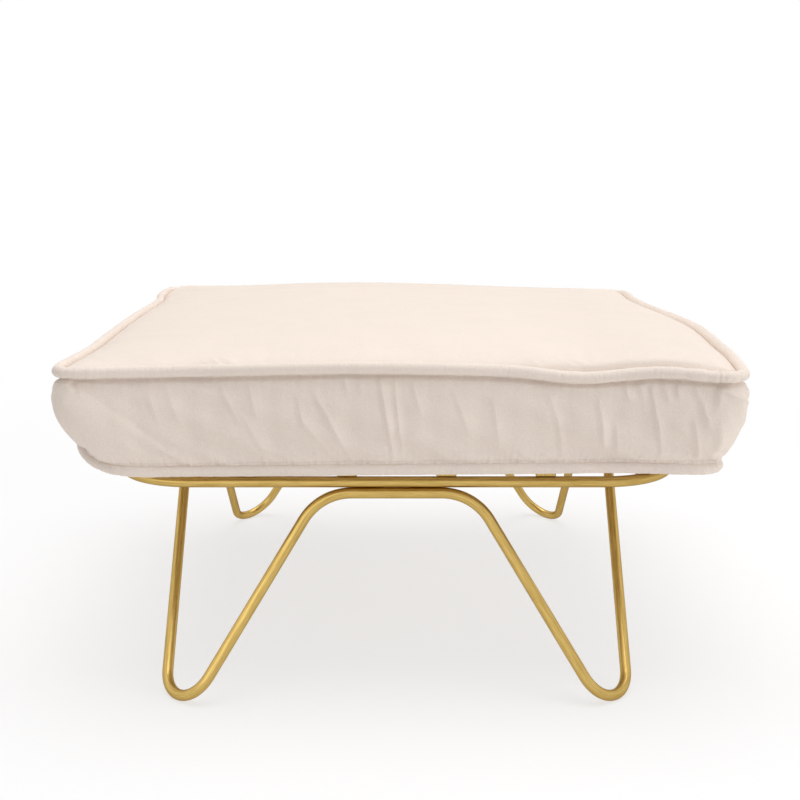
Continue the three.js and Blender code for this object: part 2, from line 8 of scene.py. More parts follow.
import bpy
import numpy as np
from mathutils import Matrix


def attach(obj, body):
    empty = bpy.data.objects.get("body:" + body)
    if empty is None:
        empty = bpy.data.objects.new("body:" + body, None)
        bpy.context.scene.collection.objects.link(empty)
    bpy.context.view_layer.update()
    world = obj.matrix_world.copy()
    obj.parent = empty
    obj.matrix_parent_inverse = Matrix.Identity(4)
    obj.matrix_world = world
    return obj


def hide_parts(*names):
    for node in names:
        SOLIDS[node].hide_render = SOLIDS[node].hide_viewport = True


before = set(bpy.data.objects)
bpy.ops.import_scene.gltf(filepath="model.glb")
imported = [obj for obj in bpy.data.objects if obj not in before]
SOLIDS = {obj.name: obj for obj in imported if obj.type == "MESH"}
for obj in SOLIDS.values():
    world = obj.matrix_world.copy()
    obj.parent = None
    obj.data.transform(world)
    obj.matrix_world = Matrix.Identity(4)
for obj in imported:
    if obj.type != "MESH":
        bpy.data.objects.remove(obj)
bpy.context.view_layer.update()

MM = 0.001

# %% [markdown]
# ## The camera
#
# The picture is taken from the front at a little over seat height, looking down by less than 12
# degrees. A camera can be set by hand until the feet and the seat line up, or solved from points of
# known size. These values were solved with the rod's thickness as the unit, and then rounded.

# %% The camera
CAMERA_PLACE = np.array([3.0, -1380.7, 499.8])
CAMERA_PITCH = np.radians(11.55)
LENS_MM, SENSOR_MM = 58.5, 36

lens = bpy.data.cameras.new("camera")
lens.lens = LENS_MM
lens.sensor_width = SENSOR_MM
camera = bpy.data.objects.new("camera", lens)
camera.location = CAMERA_PLACE * MM
camera.rotation_euler = (np.pi / 2 - CAMERA_PITCH, 0, 0)
bpy.context.scene.collection.objects.link(camera)
bpy.context.scene.camera = camera
print("camera looks down by", round(float(np.degrees(CAMERA_PITCH)), 2), "degrees")

# %% [markdown]
# ## From arrays to a mesh
#
# Every new piece below is worked out as whole arrays of points. A grid of points is joined into
# four-sided faces, and closed ends get triangles. Blender takes such arrays in one go with
# foreach_set, which is far quicker than adding vertices one at a time. The volume's sign tells
# whether the faces point outwards, so a piece that came out inside out is turned here.

# %% Make a mesh and place it on its body
def signed_volume(points, triangles):
    """A sixth of the sum of a . (b x c) over the triangles: above zero if they face outwards."""
    a, b, c = (points[triangles[:, k]] for k in range(3))
    return float(np.einsum("ij,ij->", a, np.cross(b, c)) / 6)


def add_piece(name, points, quads, triangles, body, slot, material, replaced=(), drawn=None):
    """A smooth closed mesh from points in millimetres, on a body, standing for the named solids.

    Drawn, where given, is each point's place in millimetres on the straight rod before bending.
    """
    split = np.concatenate([quads[:, [0, 1, 2]], quads[:, [0, 2, 3]], triangles])
    volume = signed_volume(points, split)
    if volume < 0:
        quads, triangles = quads[:, ::-1], triangles[:, ::-1]
    starts = np.concatenate([4 * np.arange(len(quads)), 4 * len(quads) + 3 * np.arange(len(triangles))])
    corners = np.concatenate([quads.ravel(), triangles.ravel()])
    mesh = bpy.data.meshes.new(name)
    mesh.vertices.add(len(points))
    mesh.vertices.foreach_set("co", (points * MM).ravel())
    mesh.loops.add(len(corners))
    mesh.loops.foreach_set("vertex_index", corners)
    mesh.polygons.add(len(starts))
    mesh.polygons.foreach_set("loop_start", starts)
    mesh.update(calc_edges=True)
    mesh.shade_smooth()
    if drawn is not None:
        attribute = mesh.attributes.new("drawn", "FLOAT_VECTOR", "POINT")
        attribute.data.foreach_set("vector", (drawn * MM).ravel())
    piece = bpy.data.objects.new(name, mesh)
    bpy.context.scene.collection.objects.link(piece)
    mesh.materials.append(material)
    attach(piece, body)
    if replaced:
        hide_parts(*replaced)
    print(f"{name}: {len(split)} triangles, {abs(volume) / 1000:.1f} cm3")
    return piece


def grid_faces(rows, columns, rows_close=False, columns_close=False):
    """The four-sided faces of a grid of points numbered row by row, closed where asked."""
    number = np.arange(rows * columns).reshape(rows, columns)
    if rows_close:
        number = np.vstack([number, number[:1]])
    if columns_close:
        number = np.hstack([number, number[:, :1]])
    corners = (number[:-1, :-1], number[:-1, 1:], number[1:, 1:], number[1:, :-1])
    return np.stack(corners, axis=-1).reshape(-1, 4)


def closed_tube(rings):
    """Points and faces of a tube given as rings (stations, sides, 3), its ends shut by fans."""
    count, sides = rings.shape[:2]
    quads = grid_faces(count, sides, columns_close=True)
    middles = np.stack([rings[0].mean(axis=0), rings[-1].mean(axis=0)])
    points = np.concatenate([rings.reshape(-1, 3), middles])
    around = np.arange(sides)
    ahead = (around + 1) % sides
    last = (count - 1) * sides
    first_fan = np.stack([np.full(sides, count * sides), ahead, around], axis=1)
    last_fan = np.stack([np.full(sides, count * sides + 1), last + around, last + ahead], axis=1)
    return points, quads, np.concatenate([first_fan, last_fan])


# %% [markdown]
# ## Materials: one helper for all of them
#
# Each material is a small tree of nodes. Colours are written as the hex values that a picture
# shows, and one function turns them to the linear values that the shader works in. Another adds a
# node with its settings and links, so that every material below reads as a short list.

# %% Helpers for materials
def colour(code):
    """A hex colour as linear red, green, blue and 1, by the sRGB curve."""
    shown = np.array([int(code[k : k + 2], 16) for k in (1, 3, 5)]) / 255
    linear = np.where(shown <= 0.04045, shown / 12.92, ((shown + 0.055) / 1.055) ** 2.4)
    return (*map(float, linear), 1.0)


def add(tree, kind, inputs=None, **settings):
    """Adds a node: settings are its own properties, inputs its sockets' values or links."""
    node = tree.nodes.new(kind)
    for name, value in settings.items():
        setattr(node, name, value)
    for name, value in (inputs or {}).items():
        if isinstance(value, bpy.types.NodeSocket):
            tree.links.new(value, node.inputs[name])
        else:
            node.inputs[name].default_value = value
    return node


def new_material(name, **shader):
    """A material with a Principled shader, and the tree, shader and Object coordinates."""
    material = bpy.data.materials.new(name)
    material.use_nodes = True
    tree = material.node_tree
    surface = tree.nodes["Principled BSDF"]
    for socket, value in shader.items():
        surface.inputs[socket.replace("_", " ")].default_value = value
    place = add(tree, "ShaderNodeTexCoord").outputs["Object"]
    return material, tree, surface, place


def per_metre(size_mm):
    """The noise scale whose patches are about that many millimetres across."""
    return 1 / (size_mm * MM)


def two_tone(tree, value, low, high, darkest, lightest):
    """A colour between the two given ones, as the value goes from low to high."""
    inputs = {"Value": value, "From Min": low, "From Max": high}
    share = add(tree, "ShaderNodeMapRange", inputs).outputs["Result"]
    tones = {"Factor": share, 6: colour(darkest), 7: colour(lightest)}
    return add(tree, "ShaderNodeMix", tones, data_type="RGBA").outputs[2]


# %% [markdown]
# ## Brass-coloured steel
#
# The rod is mild steel with a thin brass-coloured plating under clear lacquer, as on most gilt
# furniture legs. Drawn and bent rod isn't a mirror: the plating is satin, cloudy over a few
# millimetres, and streaked along the rod by the die that it was drawn through. Noise that is
# squeezed across the rod and stretched along it gives such streaks. It reads places that each rod
# carries as an attribute, so the streaks follow every bend. The lacquer is the shader's coat.

# %% Gold steel
CLOUD_MM, CLOUD_WEIGHT = 14, 0.4
# The noise's values from which the colour is all dark and all light.
GOLD_RANGE = (0.52, 0.88)
ROUGHNESS_SPREAD = 0.06


def gold_finish(name, darkest, lightest, roughness, drawn, mark_mm, depth_mm):
    """Plated steel: clouds and finer marks, which run along the rod where it is drawn."""
    shader = {"Metallic": 1.0, "Coat_Weight": 0.5, "Coat_Roughness": 0.3}
    material, tree, surface, place = new_material(name, **shader)
    surface.inputs["Specular Tint"].default_value = colour("#A98B4E")
    if drawn:
        place = add(tree, "ShaderNodeAttribute", attribute_name="drawn").outputs["Vector"]
    grain = {"Vector": place, "Scale": per_metre(mark_mm), "Detail": 4, "Roughness": 0.65}
    marks = add(tree, "ShaderNodeTexNoise", grain).outputs["Fac"]
    patches = {"Vector": place, "Scale": per_metre(CLOUD_MM), "Detail": 3}
    clouds = add(tree, "ShaderNodeTexNoise", patches).outputs["Fac"]
    weighed = {0: clouds, 1: CLOUD_WEIGHT, 2: marks}
    shade = add(tree, "ShaderNodeMath", weighed, operation="MULTIPLY_ADD").outputs[0]
    tree.links.new(two_tone(tree, shade, *GOLD_RANGE, darkest, lightest), surface.inputs["Base Color"])
    smoothest, roughest = roughness - ROUGHNESS_SPREAD, roughness + ROUGHNESS_SPREAD
    spread = {"Value": marks, "To Min": smoothest, "To Max": roughest}
    rough = add(tree, "ShaderNodeMapRange", spread).outputs["Result"]
    tree.links.new(rough, surface.inputs["Roughness"])
    # Drawing marks are a few hundredths of a millimetre deep, and wider than real to show here.
    relief = add(tree, "ShaderNodeBump", {"Height": marks, "Distance": depth_mm * MM, "Strength": 1.0})
    tree.links.new(relief.outputs["Normal"], surface.inputs["Normal"])
    return material


# Plating over drawn rod is satin with long streaks. Over a weld bead it is duller and has none.
gold_steel = gold_finish("gold_plated_steel", "#B39248", "#D6B769", 0.35, True, 1.2, 0.05)
weld_steel = gold_finish("gold_plated_weld", "#A88743", "#C5A458", 0.45, False, 0.6, 0.03)

# %% [markdown]
# ## Velvet
#
# Velvet is a woven ground with a cut pile about 1.5 mm high. Its look is nearly all sheen: the
# fibres' sides catch light at the rims and folds, and where a hand has stroked the pile it lies
# another way and turns a shade lighter or darker in soft patches. The weave itself never shows.

# %% Velvet
STROKE_MM, STROKE_WEIGHT = 40, 0.3
VELVET_RANGE = (0.45, 0.85)
# Pile tufts are 0.3 mm apart, drawn at 1.3 mm so that they show as a faint nap.
TUFT_MM, TUFT_DEPTH_MM = 1.3, 0.5


def velvet_finish(name, darkest, lightest):
    """Cut pile: sheen over two tones, from wide strokes of the hand and fine tufts."""
    shader = {"Specular_IOR_Level": 0.2, "Sheen_Weight": 0.35, "Sheen_Roughness": 0.45}
    material, tree, surface, place = new_material(name, Roughness=0.92, **shader)
    surface.inputs["Sheen Tint"].default_value = colour("#FFF4EA")
    strokes = {"Vector": place, "Scale": per_metre(STROKE_MM), "Detail": 3}
    stroked = add(tree, "ShaderNodeTexNoise", strokes).outputs["Fac"]
    pile = {"Vector": place, "Scale": per_metre(TUFT_MM), "Detail": 3, "Roughness": 0.7}
    tufts = add(tree, "ShaderNodeTexNoise", pile).outputs["Fac"]
    weighed = {0: stroked, 1: STROKE_WEIGHT, 2: tufts}
    shade = add(tree, "ShaderNodeMath", weighed, operation="MULTIPLY_ADD").outputs[0]
    tone = two_tone(tree, shade, *VELVET_RANGE, darkest, lightest)
    tree.links.new(tone, surface.inputs["Base Color"])
    nap = add(tree, "ShaderNodeBump", {"Height": tufts, "Distance": TUFT_DEPTH_MM * MM, "Strength": 1.0})
    tree.links.new(nap.outputs["Normal"], surface.inputs["Normal"])
    return material


velvet = velvet_finish("cut_pile_velvet", "#E8DBD0", "#F2E4D9")

# %% [markdown]
# ## Thread, cord, foam and fibre
#
# These are mostly hidden. The seam thread shows as a fine stitch line over the lower welt. Cord,
# foam and fibre fill the cover, and they get the plain finish of what they are: two tones and a
# relief from one noise, whose grain has the size of a strand or a cell.

# %% Thread, cord, foam and fibre
GRAIN_RANGE = (0.3, 0.7)


def grained_finish(name, darkest, lightest, size_mm, depth_mm, roughness, metallic=0.0):
    """A plain finish with a grain of one size and depth."""
    material, tree, surface, place = new_material(name, Roughness=roughness, Metallic=metallic)
    grain = {"Vector": place, "Scale": per_metre(size_mm), "Detail": 3}
    cells = add(tree, "ShaderNodeTexNoise", grain).outputs["Fac"]
    tree.links.new(two_tone(tree, cells, *GRAIN_RANGE, darkest, lightest), surface.inputs["Base Color"])
    relief = add(tree, "ShaderNodeBump", {"Height": cells, "Distance": depth_mm * MM, "Strength": 1.0})
    tree.links.new(relief.outputs["Normal"], surface.inputs["Normal"])
    return material


# Thread has a slight shine, and cotton cord has none. Foam shows its cut cells, wadding its clumps.
thread = grained_finish("polyester_thread", "#DCCDC1", "#E6D8CC", 0.4, 0.1, 0.7)
cotton = grained_finish("piping_cord_cotton", "#E9E4D8", "#F2EEE4", 1.2, 0.4, 0.95)
foam = grained_finish("cut_polyether_foam", "#EFE2AE", "#F7EDC4", 0.9, 0.3, 0.98)
fibre = grained_finish("polyester_wadding", "#F2F2EF", "#FBFBFA", 3.0, 0.8, 1.0)

# %% [markdown]
# ## Stage and light
#
# The stool stands on a plain white floor. A camera sees the floor and the world at their full white,
# and mirrors see them too, while the light that reaches the cushion stays at a plain level: a big
# soft box above, a weaker one in front on the right that grazes the folds, and a faint even light
# all round. A box on the left is there for the metal alone, as a photographer sets a card beside a
# shiny leg: only glossy rays see it. Light Path tells the rays apart. The floor keeps the soft
# shadow under the frame.

# %% Floor and world
# In metres: half the floor's width, and the distances between which it turns white for the eye.
FLOOR_HALF = 20
FADE_START, FADE_END = 0.7, 1.5
# The share of white that the eye gets near the stool, where the rest is the shaded paper.
NEAR_WHITE = 0.65
# The share of light that the paper throws back.
PAPER_WHITE = 0.93
# The strength of the even light all round, for rays that light things.
ROOM_LIGHT = 0.5


def white_for_eye(tree, strength):
    """1 where a ray comes from the camera, a gloss or a glass, and strength for all other rays."""
    path = add(tree, "ShaderNodeLightPath").outputs
    direct = {0: path["Is Camera Ray"], 1: path["Is Glossy Ray"]}
    seen = add(tree, "ShaderNodeMath", direct, operation="ADD").outputs[0]
    all_seen = {0: seen, 1: path["Is Transmission Ray"]}
    seen = add(tree, "ShaderNodeMath", all_seen, operation="ADD", use_clamp=True).outputs[0]
    inputs = {"Value": seen, "To Min": strength, "To Max": 1.0}
    return add(tree, "ShaderNodeMapRange", inputs).outputs["Result"]


def make_world(strength):
    """A white room, full white to the eye and plain for the light that it gives."""
    world = bpy.data.worlds.new("soft_white_room")
    world.use_nodes = True
    tree = world.node_tree
    background = tree.nodes["Background"]
    background.inputs["Color"].default_value = (1, 1, 1, 1)
    tree.links.new(white_for_eye(tree, strength), background.inputs["Strength"])
    bpy.context.scene.world = world


def fade_to_white(tree, surface):
    """For the eye, white covers part of the floor's shading near the stool, and all of it far away."""
    place = add(tree, "ShaderNodeNewGeometry").outputs["Position"]
    distance = add(tree, "ShaderNodeVectorMath", {0: place}, operation="LENGTH").outputs["Value"]
    inputs = {"Value": distance, "From Min": FADE_START, "From Max": FADE_END, "To Min": NEAR_WHITE}
    far = add(tree, "ShaderNodeMapRange", inputs, interpolation_type="SMOOTHSTEP").outputs["Result"]
    eye = white_for_eye(tree, 0.0)
    share = add(tree, "ShaderNodeMath", {0: far, 1: eye}, operation="MULTIPLY").outputs[0]
    white = add(tree, "ShaderNodeEmission").outputs[0]
    shaders = {"Fac": share, 1: surface.outputs[0], 2: white}
    mixed = add(tree, "ShaderNodeMixShader", shaders).outputs[0]
    tree.links.new(mixed, tree.nodes["Material Output"].inputs["Surface"])


def make_floor(half):
    """A square of matt white paper, half its width given in metres."""
    mesh = bpy.data.meshes.new("floor")
    corners = [(-half, -half, 0), (half, -half, 0), (half, half, 0), (-half, half, 0)]
    mesh.from_pydata(corners, [], [(0, 1, 2, 3)])
    floor = bpy.data.objects.new("floor", mesh)
    bpy.context.scene.collection.objects.link(floor)
    shader = {"Roughness": 1.0, "Specular_IOR_Level": 0.0}
    material, tree, surface, _ = new_material("matt_white_paper", **shader)
    surface.inputs["Base Color"].default_value = (PAPER_WHITE, PAPER_WHITE, PAPER_WHITE, 1)
    fade_to_white(tree, surface)
    mesh.materials.append(material)


make_world(ROOM_LIGHT)
make_floor(FLOOR_HALF)
bpy.context.scene.view_settings.view_transform = "Standard"


# %% Lamps
def soft_box(name, place, aim, size, power):
    """A square area lamp, places in metres, turned so that its front faces the aim."""
    lamp = bpy.data.lights.new(name, "AREA")
    lamp.shape = "SQUARE"
    lamp.size = size
    lamp.energy = power
    box = bpy.data.objects.new(name, lamp)
    box.location = place
    gap = np.array(aim) - np.array(place)
    tilt = np.arctan2(np.hypot(gap[0], gap[1]), -gap[2])
    turn = np.arctan2(gap[0], -gap[1]) + np.pi
    box.rotation_euler = (float(tilt), 0, float(turn))
    bpy.context.scene.collection.objects.link(box)
    return box


soft_box("overhead_box", (0.1, 0.1, 2.8), (0, 0, 0.25), 2.6, 55)
# From the right and low, so that it grazes the folds.
cloth_box = soft_box("cloth_box", (3.0, -1.55, 1.2), (0, -0.2, 0.25), 2.2, 30)
cloth_box.visible_glossy = False
# From the left, where the legs mirror it.
metal_box = soft_box("metal_box", (-1.8, -2.6, 0.9), (0, -0.2, 0.15), 3.0, 22)
metal_box.visible_diffuse = False

# %% [markdown]
# ## Bent rod
#
# A bent rod is straights joined by arcs, because it is bent round a former of one radius at a time.
# A Bezier curve with a round bevel would come close, but its bends aren't true arcs. Here each bend
# is the arc that touches both straights, and the section's side vector is turned about the bend's
# own axis, so that the skin never twists.

# %% Paths with true bends
STATION_GAP = 12
BEND_STEP = np.radians(4)
# No rod starts out this way, so it gives the first side vector of every path.
ODD_WAY = [0.31, 0.17, 0.93]


def turned(vector, axis, angles):
    """A vector turned about a unit axis by each of the angles: its part along the axis stays, and
    the rest goes by the cosine, plus the axis times the vector by the sine.
    """
    along = axis * (vector @ axis)
    cos, sin = np.cos(angles)[:, None], np.sin(angles)[:, None]
    return along + (vector - along) * cos + np.cross(axis, vector) * sin


def unit(vector):
    """Each vector at a length of 1."""
    return vector / np.linalg.norm(vector, axis=-1, keepdims=True)


def bent_path(stops, radii):
    """Points, tangents and side vectors along straights between stops, with an arc at each bend.

    At a stop the arc's ends lie the radius times the tangent of half the turn along both straights,
    and its points are the start turned about the bend's axis. The side vector gets the same turn.
    """
    stops = np.array(stops, float)
    points, tangents, sides = [], [], []
    heading = unit(stops[1] - stops[0])
    side = unit(np.cross(heading, ODD_WAY))
    here = stops[0]
    for k in range(1, len(stops)):
        ahead = unit(stops[k] - stops[k - 1])
        last = k == len(stops) - 1
        after = ahead if last else unit(stops[k + 1] - stops[k])
        turn = float(np.arccos(np.clip(ahead @ after, -1, 1)))
        setback = 0 if last else radii[k] * np.tan(turn / 2)
        end = stops[k] - ahead * setback
        count = max(2, int(np.linalg.norm(end - here) / STATION_GAP))
        shares = np.linspace(0, 1, count, endpoint=last)[:, None]
        points.append(here + (end - here) * shares)
        tangents.append(np.broadcast_to(ahead, (count, 3)))
        sides.append(np.broadcast_to(side, (count, 3)))
        if last:
            break
        axis = unit(np.cross(ahead, after))
        centre = end + np.cross(axis, ahead) * radii[k]
        steps = int(np.ceil(turn / BEND_STEP))
        angles = np.linspace(0, turn, steps, endpoint=False)
        points.append(centre + turned(end - centre, axis, angles))
        tangents.append(turned(ahead, axis, angles))
        sides.append(turned(side, axis, angles))
        here = stops[k] + after * setback
        side = turned(side, axis, np.array([turn]))[0]
    return np.concatenate(points), np.concatenate(tangents), np.concatenate(sides)


def rings_along(points, tangents, sides, radii, count):
    """Rings round a path: each point plus radius times the side and its normal, by the angle."""
    ups = np.cross(tangents, sides)
    angles = np.linspace(0, 2 * np.pi, count, endpoint=False)
    radii = np.broadcast_to(np.asarray(radii, float), (len(points), count))[..., None]
    across = sides[:, None] * np.cos(angles)[:, None] + ups[:, None] * np.sin(angles)[:, None]
    return points[:, None] + across * radii


# %% [markdown]
# ## The seat ring and the base rods
#
# One rod makes the square seat ring, and its ends are butt welded at the back. The base is one
# endless line of rod in two halves: level along each side, down to a hairpin foot, and up to a short
# run under the seat rail. The foot's bend is solved so that its underside just passes the floor, and
# a small flat is ground there.

# %% Rods
ROD_RADIUS, ROD_SIDES = 5, 40
TOUCH_GAP = 0.3
# The ring's middle line: half its width, its corners' radius, its level, and where its ends meet.
RING_HALF, RING_RADIUS, RING_LEVEL, RING_JOINT = 255, 70, 195, 110
JOINT_HALF = 0.9
# The run under the rail, the stretch along the side, and the foot's sharp corner.
RUN_HALF, RUN_BEND = 69, 50
RUN_LEVEL = RING_LEVEL - 2 * ROD_RADIUS - TOUCH_GAP
SIDE_HALF, SIDE_CORNER, SIDE_BEND = 215, 73, 50
FOOT_X, FOOT_Y, FOOT_BEND = 209.5, 316, 33
FOOT_FLAT = 0.4
FOOT_TRIES = 5
STREAK_STRETCH = 20


def drawn_places(run):
    """Places on a straight rod: the run squeezed by the stretch, then cosine and sine of the angle."""
    angles = np.linspace(0, 2 * np.pi, ROD_SIDES, endpoint=False)
    section = ROD_RADIUS * np.stack([np.cos(angles), np.sin(angles)], axis=1)
    along = np.broadcast_to(run[:, None, None], (len(run), ROD_SIDES, 1))
    across = np.broadcast_to(section, (len(run), ROD_SIDES, 2))
    ends = [[run[0], 0, 0], [run[-1], 0, 0]]
    return np.concatenate([np.concatenate([along, across], axis=2).reshape(-1, 3), ends])


def rod(name, solid, stops, radii):
    """A rod of one diameter with its ends shut, and no lower than the floor."""
    points, tangents, sides = bent_path(stops, radii)
    rings = rings_along(points, tangents, sides, ROD_RADIUS, ROD_SIDES)
    rings[..., 2] = np.maximum(rings[..., 2], 0)
    steps = np.linalg.norm(np.diff(points, axis=0), axis=1)
    run = np.concatenate([[0], np.cumsum(steps)]) / STREAK_STRETCH
    add_piece(name, *closed_tube(rings), "frame", "gold_steel", gold_steel, [solid], drawn_places(run))


def base_stops(back, level):
    """The sharp corners of one half of the base, back being -1 at the front and 1 at the rear."""
    half = [
        (SIDE_HALF, JOINT_HALF, RING_LEVEL),
        (SIDE_HALF, SIDE_CORNER, RING_LEVEL),
        (FOOT_X, FOOT_Y, level),
        (RUN_HALF, RING_HALF, RUN_LEVEL),
    ]
    left = [(-x, back * y, z) for x, y, z in half]
    return left + [(x, back * y, z) for x, y, z in reversed(half)]


BASE_RADII = [0, SIDE_BEND, FOOT_BEND, RUN_BEND, RUN_BEND, FOOT_BEND, SIDE_BEND, 0]
foot_level = 0.0
for _ in range(FOOT_TRIES):
    lowest = bent_path(base_stops(-1, foot_level), BASE_RADII)[0][:, 2].min()
    foot_level += ROD_RADIUS - FOOT_FLAT - lowest

ring_stops = [
    (RING_JOINT - JOINT_HALF, RING_HALF, RING_LEVEL),
    (-RING_HALF, RING_HALF, RING_LEVEL),
    (-RING_HALF, -RING_HALF, RING_LEVEL),
    (RING_HALF, -RING_HALF, RING_LEVEL),
    (RING_HALF, RING_HALF, RING_LEVEL),
    (RING_JOINT + JOINT_HALF, RING_HALF, RING_LEVEL),
]
rod("ring_rod", "seat_ring", ring_stops, [0, RING_RADIUS, RING_RADIUS, RING_RADIUS, RING_RADIUS, 0])
rod("front_base_rod", "base_rod_front", base_stops(-1, foot_level), BASE_RADII)
rod("rear_base_rod", "base_rod_rear", base_stops(1, foot_level), BASE_RADII)
print("foot corner at", round(foot_level, 2), "mm")

# %% [markdown]
# ## Straps
#
# Six flat bars, 18 by 3 mm, lie across the ring. A box with a bevel would do, but here each bar is a
# rounded rectangle carried along its length. Near the ends its width shrinks by the circle of the
# cut corner and its height by the circle of the worn edge, so every edge catches light.

# %% Straps
STRAP_HALF_WIDTH, STRAP_HALF_THICKNESS = 9, 1.5
STRAP_LEVEL = RING_LEVEL + ROD_RADIUS + TOUCH_GAP + STRAP_HALF_THICKNESS
STRAP_COUNT, STRAP_SPACING = 6, 89
STRAP_OVERLAP = 1.5
STRAP_CORNER, STRAP_EDGE = 1.5, 0.45
STRAP_SIDES = 24
# Rings in the rounded end, rings along the bar, and where the second kind begins.
END_RINGS, BAR_RINGS, BAR_START = 9, 24, 4
STRAP_PLACES = [(k - (STRAP_COUNT - 1) / 2) * STRAP_SPACING for k in range(STRAP_COUNT)]


def ring_reach(place):
    """Where the ring's rod passes a strap's middle: how far out, and the way in, as (x, y)."""
    into_corner = max(0.0, abs(place) - RING_HALF + RING_RADIUS)
    angle = np.arcsin(into_corner / RING_RADIUS)
    reach = RING_HALF - RING_RADIUS * (1 - np.cos(angle))
    return reach, (-np.sign(place) * np.sin(angle), -np.cos(angle))


def strap_rings(place, half_length):
    """Rounded rectangles along Y: a corner's centre plus its radius times cosine and sine."""
    end_run = np.linspace(0, STRAP_CORNER, END_RINGS)
    from_end = np.concatenate([end_run, np.linspace(BAR_START, half_length, BAR_RINGS)])
    corner = STRAP_CORNER - np.minimum(from_end, STRAP_CORNER)
    edge = STRAP_EDGE - np.minimum(from_end, STRAP_EDGE)
    width = STRAP_HALF_WIDTH - STRAP_CORNER + np.sqrt(STRAP_CORNER**2 - corner**2)
    height = STRAP_HALF_THICKNESS - STRAP_EDGE + np.sqrt(STRAP_EDGE**2 - edge**2)
    along = np.concatenate([from_end - half_length, (half_length - from_end)[-2::-1]])
    width = np.concatenate([width, width[-2::-1]])[:, None]
    height = np.concatenate([height, height[-2::-1]])[:, None]
    angles = (np.arange(STRAP_SIDES) + 0.5) * 2 * np.pi / STRAP_SIDES
    cos, sin = np.cos(angles), np.sin(angles)
    x = place + np.sign(cos) * (width - STRAP_EDGE) + STRAP_EDGE * cos
    z = STRAP_LEVEL + np.sign(sin) * (height - STRAP_EDGE) + STRAP_EDGE * sin
    return np.stack([x, np.broadcast_to(along[:, None], x.shape), z], axis=-1)


for k, place in enumerate(STRAP_PLACES, start=1):
    half_length = ring_reach(place)[0] + STRAP_OVERLAP
    tube = closed_tube(strap_rings(place, half_length))
    drawn = tube[0] / [1, STREAK_STRETCH, 1]
    add_piece(f"flat_strap_{k}", *tube, "frame", "gold_steel", gold_steel, [f"strap_{k}"], drawn)

# %% [markdown]
# ## Welds
#
# A weld run leaves a row of overlapping ripples, one for each beat of the torch. The section of the
# corner that a bead fills is carried along it, a little fatter at each ripple, and it closes at both
# ends. The beads were plated with the rod, so they have its colour but a rougher skin.

# %% Welds
BEAD_REACH = 5.05
RIPPLE, RIPPLE_SHARE = 1.7, 0.07
STATIONS_PER_RIPPLE = 8
# The section's scale at the ends of a bead.
END_SCALE = 0.45
# The part of a bead's section that lies on a rod: its two angles in degrees, and its points.
CORNER_ARC, CORNER_POINTS = (25, 72), 7
GROOVE_ARC, GROOVE_POINTS = (-38, -72), 6
# A ground butt weld: how far along from the joint, and how far over the rod's skin.
BUTT_OUTLINE = [(-1.1, -0.15), (-0.8, 0.05), (-0.3, 0.12), (0.3, 0.12), (0.8, 0.05), (1.1, -0.15)]
# Each kind's length, and for the last two how far from the middle of the side they lie.
STRAP_BEAD = 9
RUN_BEAD, RUN_BEAD_PLACE = 28, 26
SIDE_BEAD, SIDE_BEAD_PLACE = 24, 33


def corner_section():
    """Between a rod, its centre at the origin, and the strap over it: (out, up) points."""
    angles = np.radians(np.linspace(*CORNER_ARC, CORNER_POINTS))
    on_rod = np.stack([BEAD_REACH * np.cos(angles), BEAD_REACH * np.sin(angles)], axis=1)
    on_strap = np.array([[6.3, 5.3], [6.1, 4.6], [5.7, 3.4], [5.1, 2.6]])
    return np.concatenate([on_rod, on_strap])


def groove_section():
    """Between two rods, one over the other, with the origin midway: (out, up) points."""
    angles = np.radians(np.linspace(*GROOVE_ARC, GROOVE_POINTS))
    rise = ROD_RADIUS + TOUCH_GAP / 2
    upper = np.stack([BEAD_REACH * np.cos(angles), rise + BEAD_REACH * np.sin(angles)], axis=1)
    face = np.array([[4.2, -1.0], [4.35, 0.0], [4.2, 1.0]])
    return np.concatenate([upper, upper[::-1] * [1, -1], face])


def weld_bead(name, section, length, place, out):
    """The section scaled about its own middle: by the ripple's wave, and to under half at the ends."""
    count = int(length / RIPPLE * STATIONS_PER_RIPPLE)
    along = np.linspace(-length / 2, length / 2, count)
    to_end = np.clip((length / 2 - np.abs(along)) / RIPPLE, 0, 1)
    wave = np.abs(np.cos(np.pi * along / RIPPLE))
    rounded = END_SCALE + (1 - END_SCALE) * np.sqrt(to_end * (2 - to_end))
    scale = rounded * (1 + RIPPLE_SHARE * wave)
    middle = section.mean(axis=0)
    flat = middle + (section - middle) * scale[:, None, None]
    out_x, out_y = out
    x = place[0] + flat[..., 0] * out_x + along[:, None] * out_y
    y = place[1] + flat[..., 0] * out_y - along[:, None] * out_x
    rings = np.stack([x, y, place[2] + flat[..., 1]], axis=-1)
    solid = name.replace("bead", "weld")
    add_piece(name, *closed_tube(rings), "frame", "weld_steel", weld_steel, [solid])


def butt_weld(name, place, heading):
    """A narrow ring ground nearly flush over the joint between two rod ends."""
    along, over = np.array(BUTT_OUTLINE).T
    radii = ROD_RADIUS + over
    heading = np.array(heading, float)
    points = np.array(place) + along[:, None] * heading
    tangents = np.broadcast_to(heading, points.shape)
    sides = np.broadcast_to([0.0, 0.0, 1.0], points.shape)
    rings = rings_along(points, tangents, sides, radii[:, None], ROD_SIDES)
    solid = name.replace("bead", "weld")
    add_piece(name, *closed_tube(rings), "frame", "weld_steel", weld_steel, [solid])


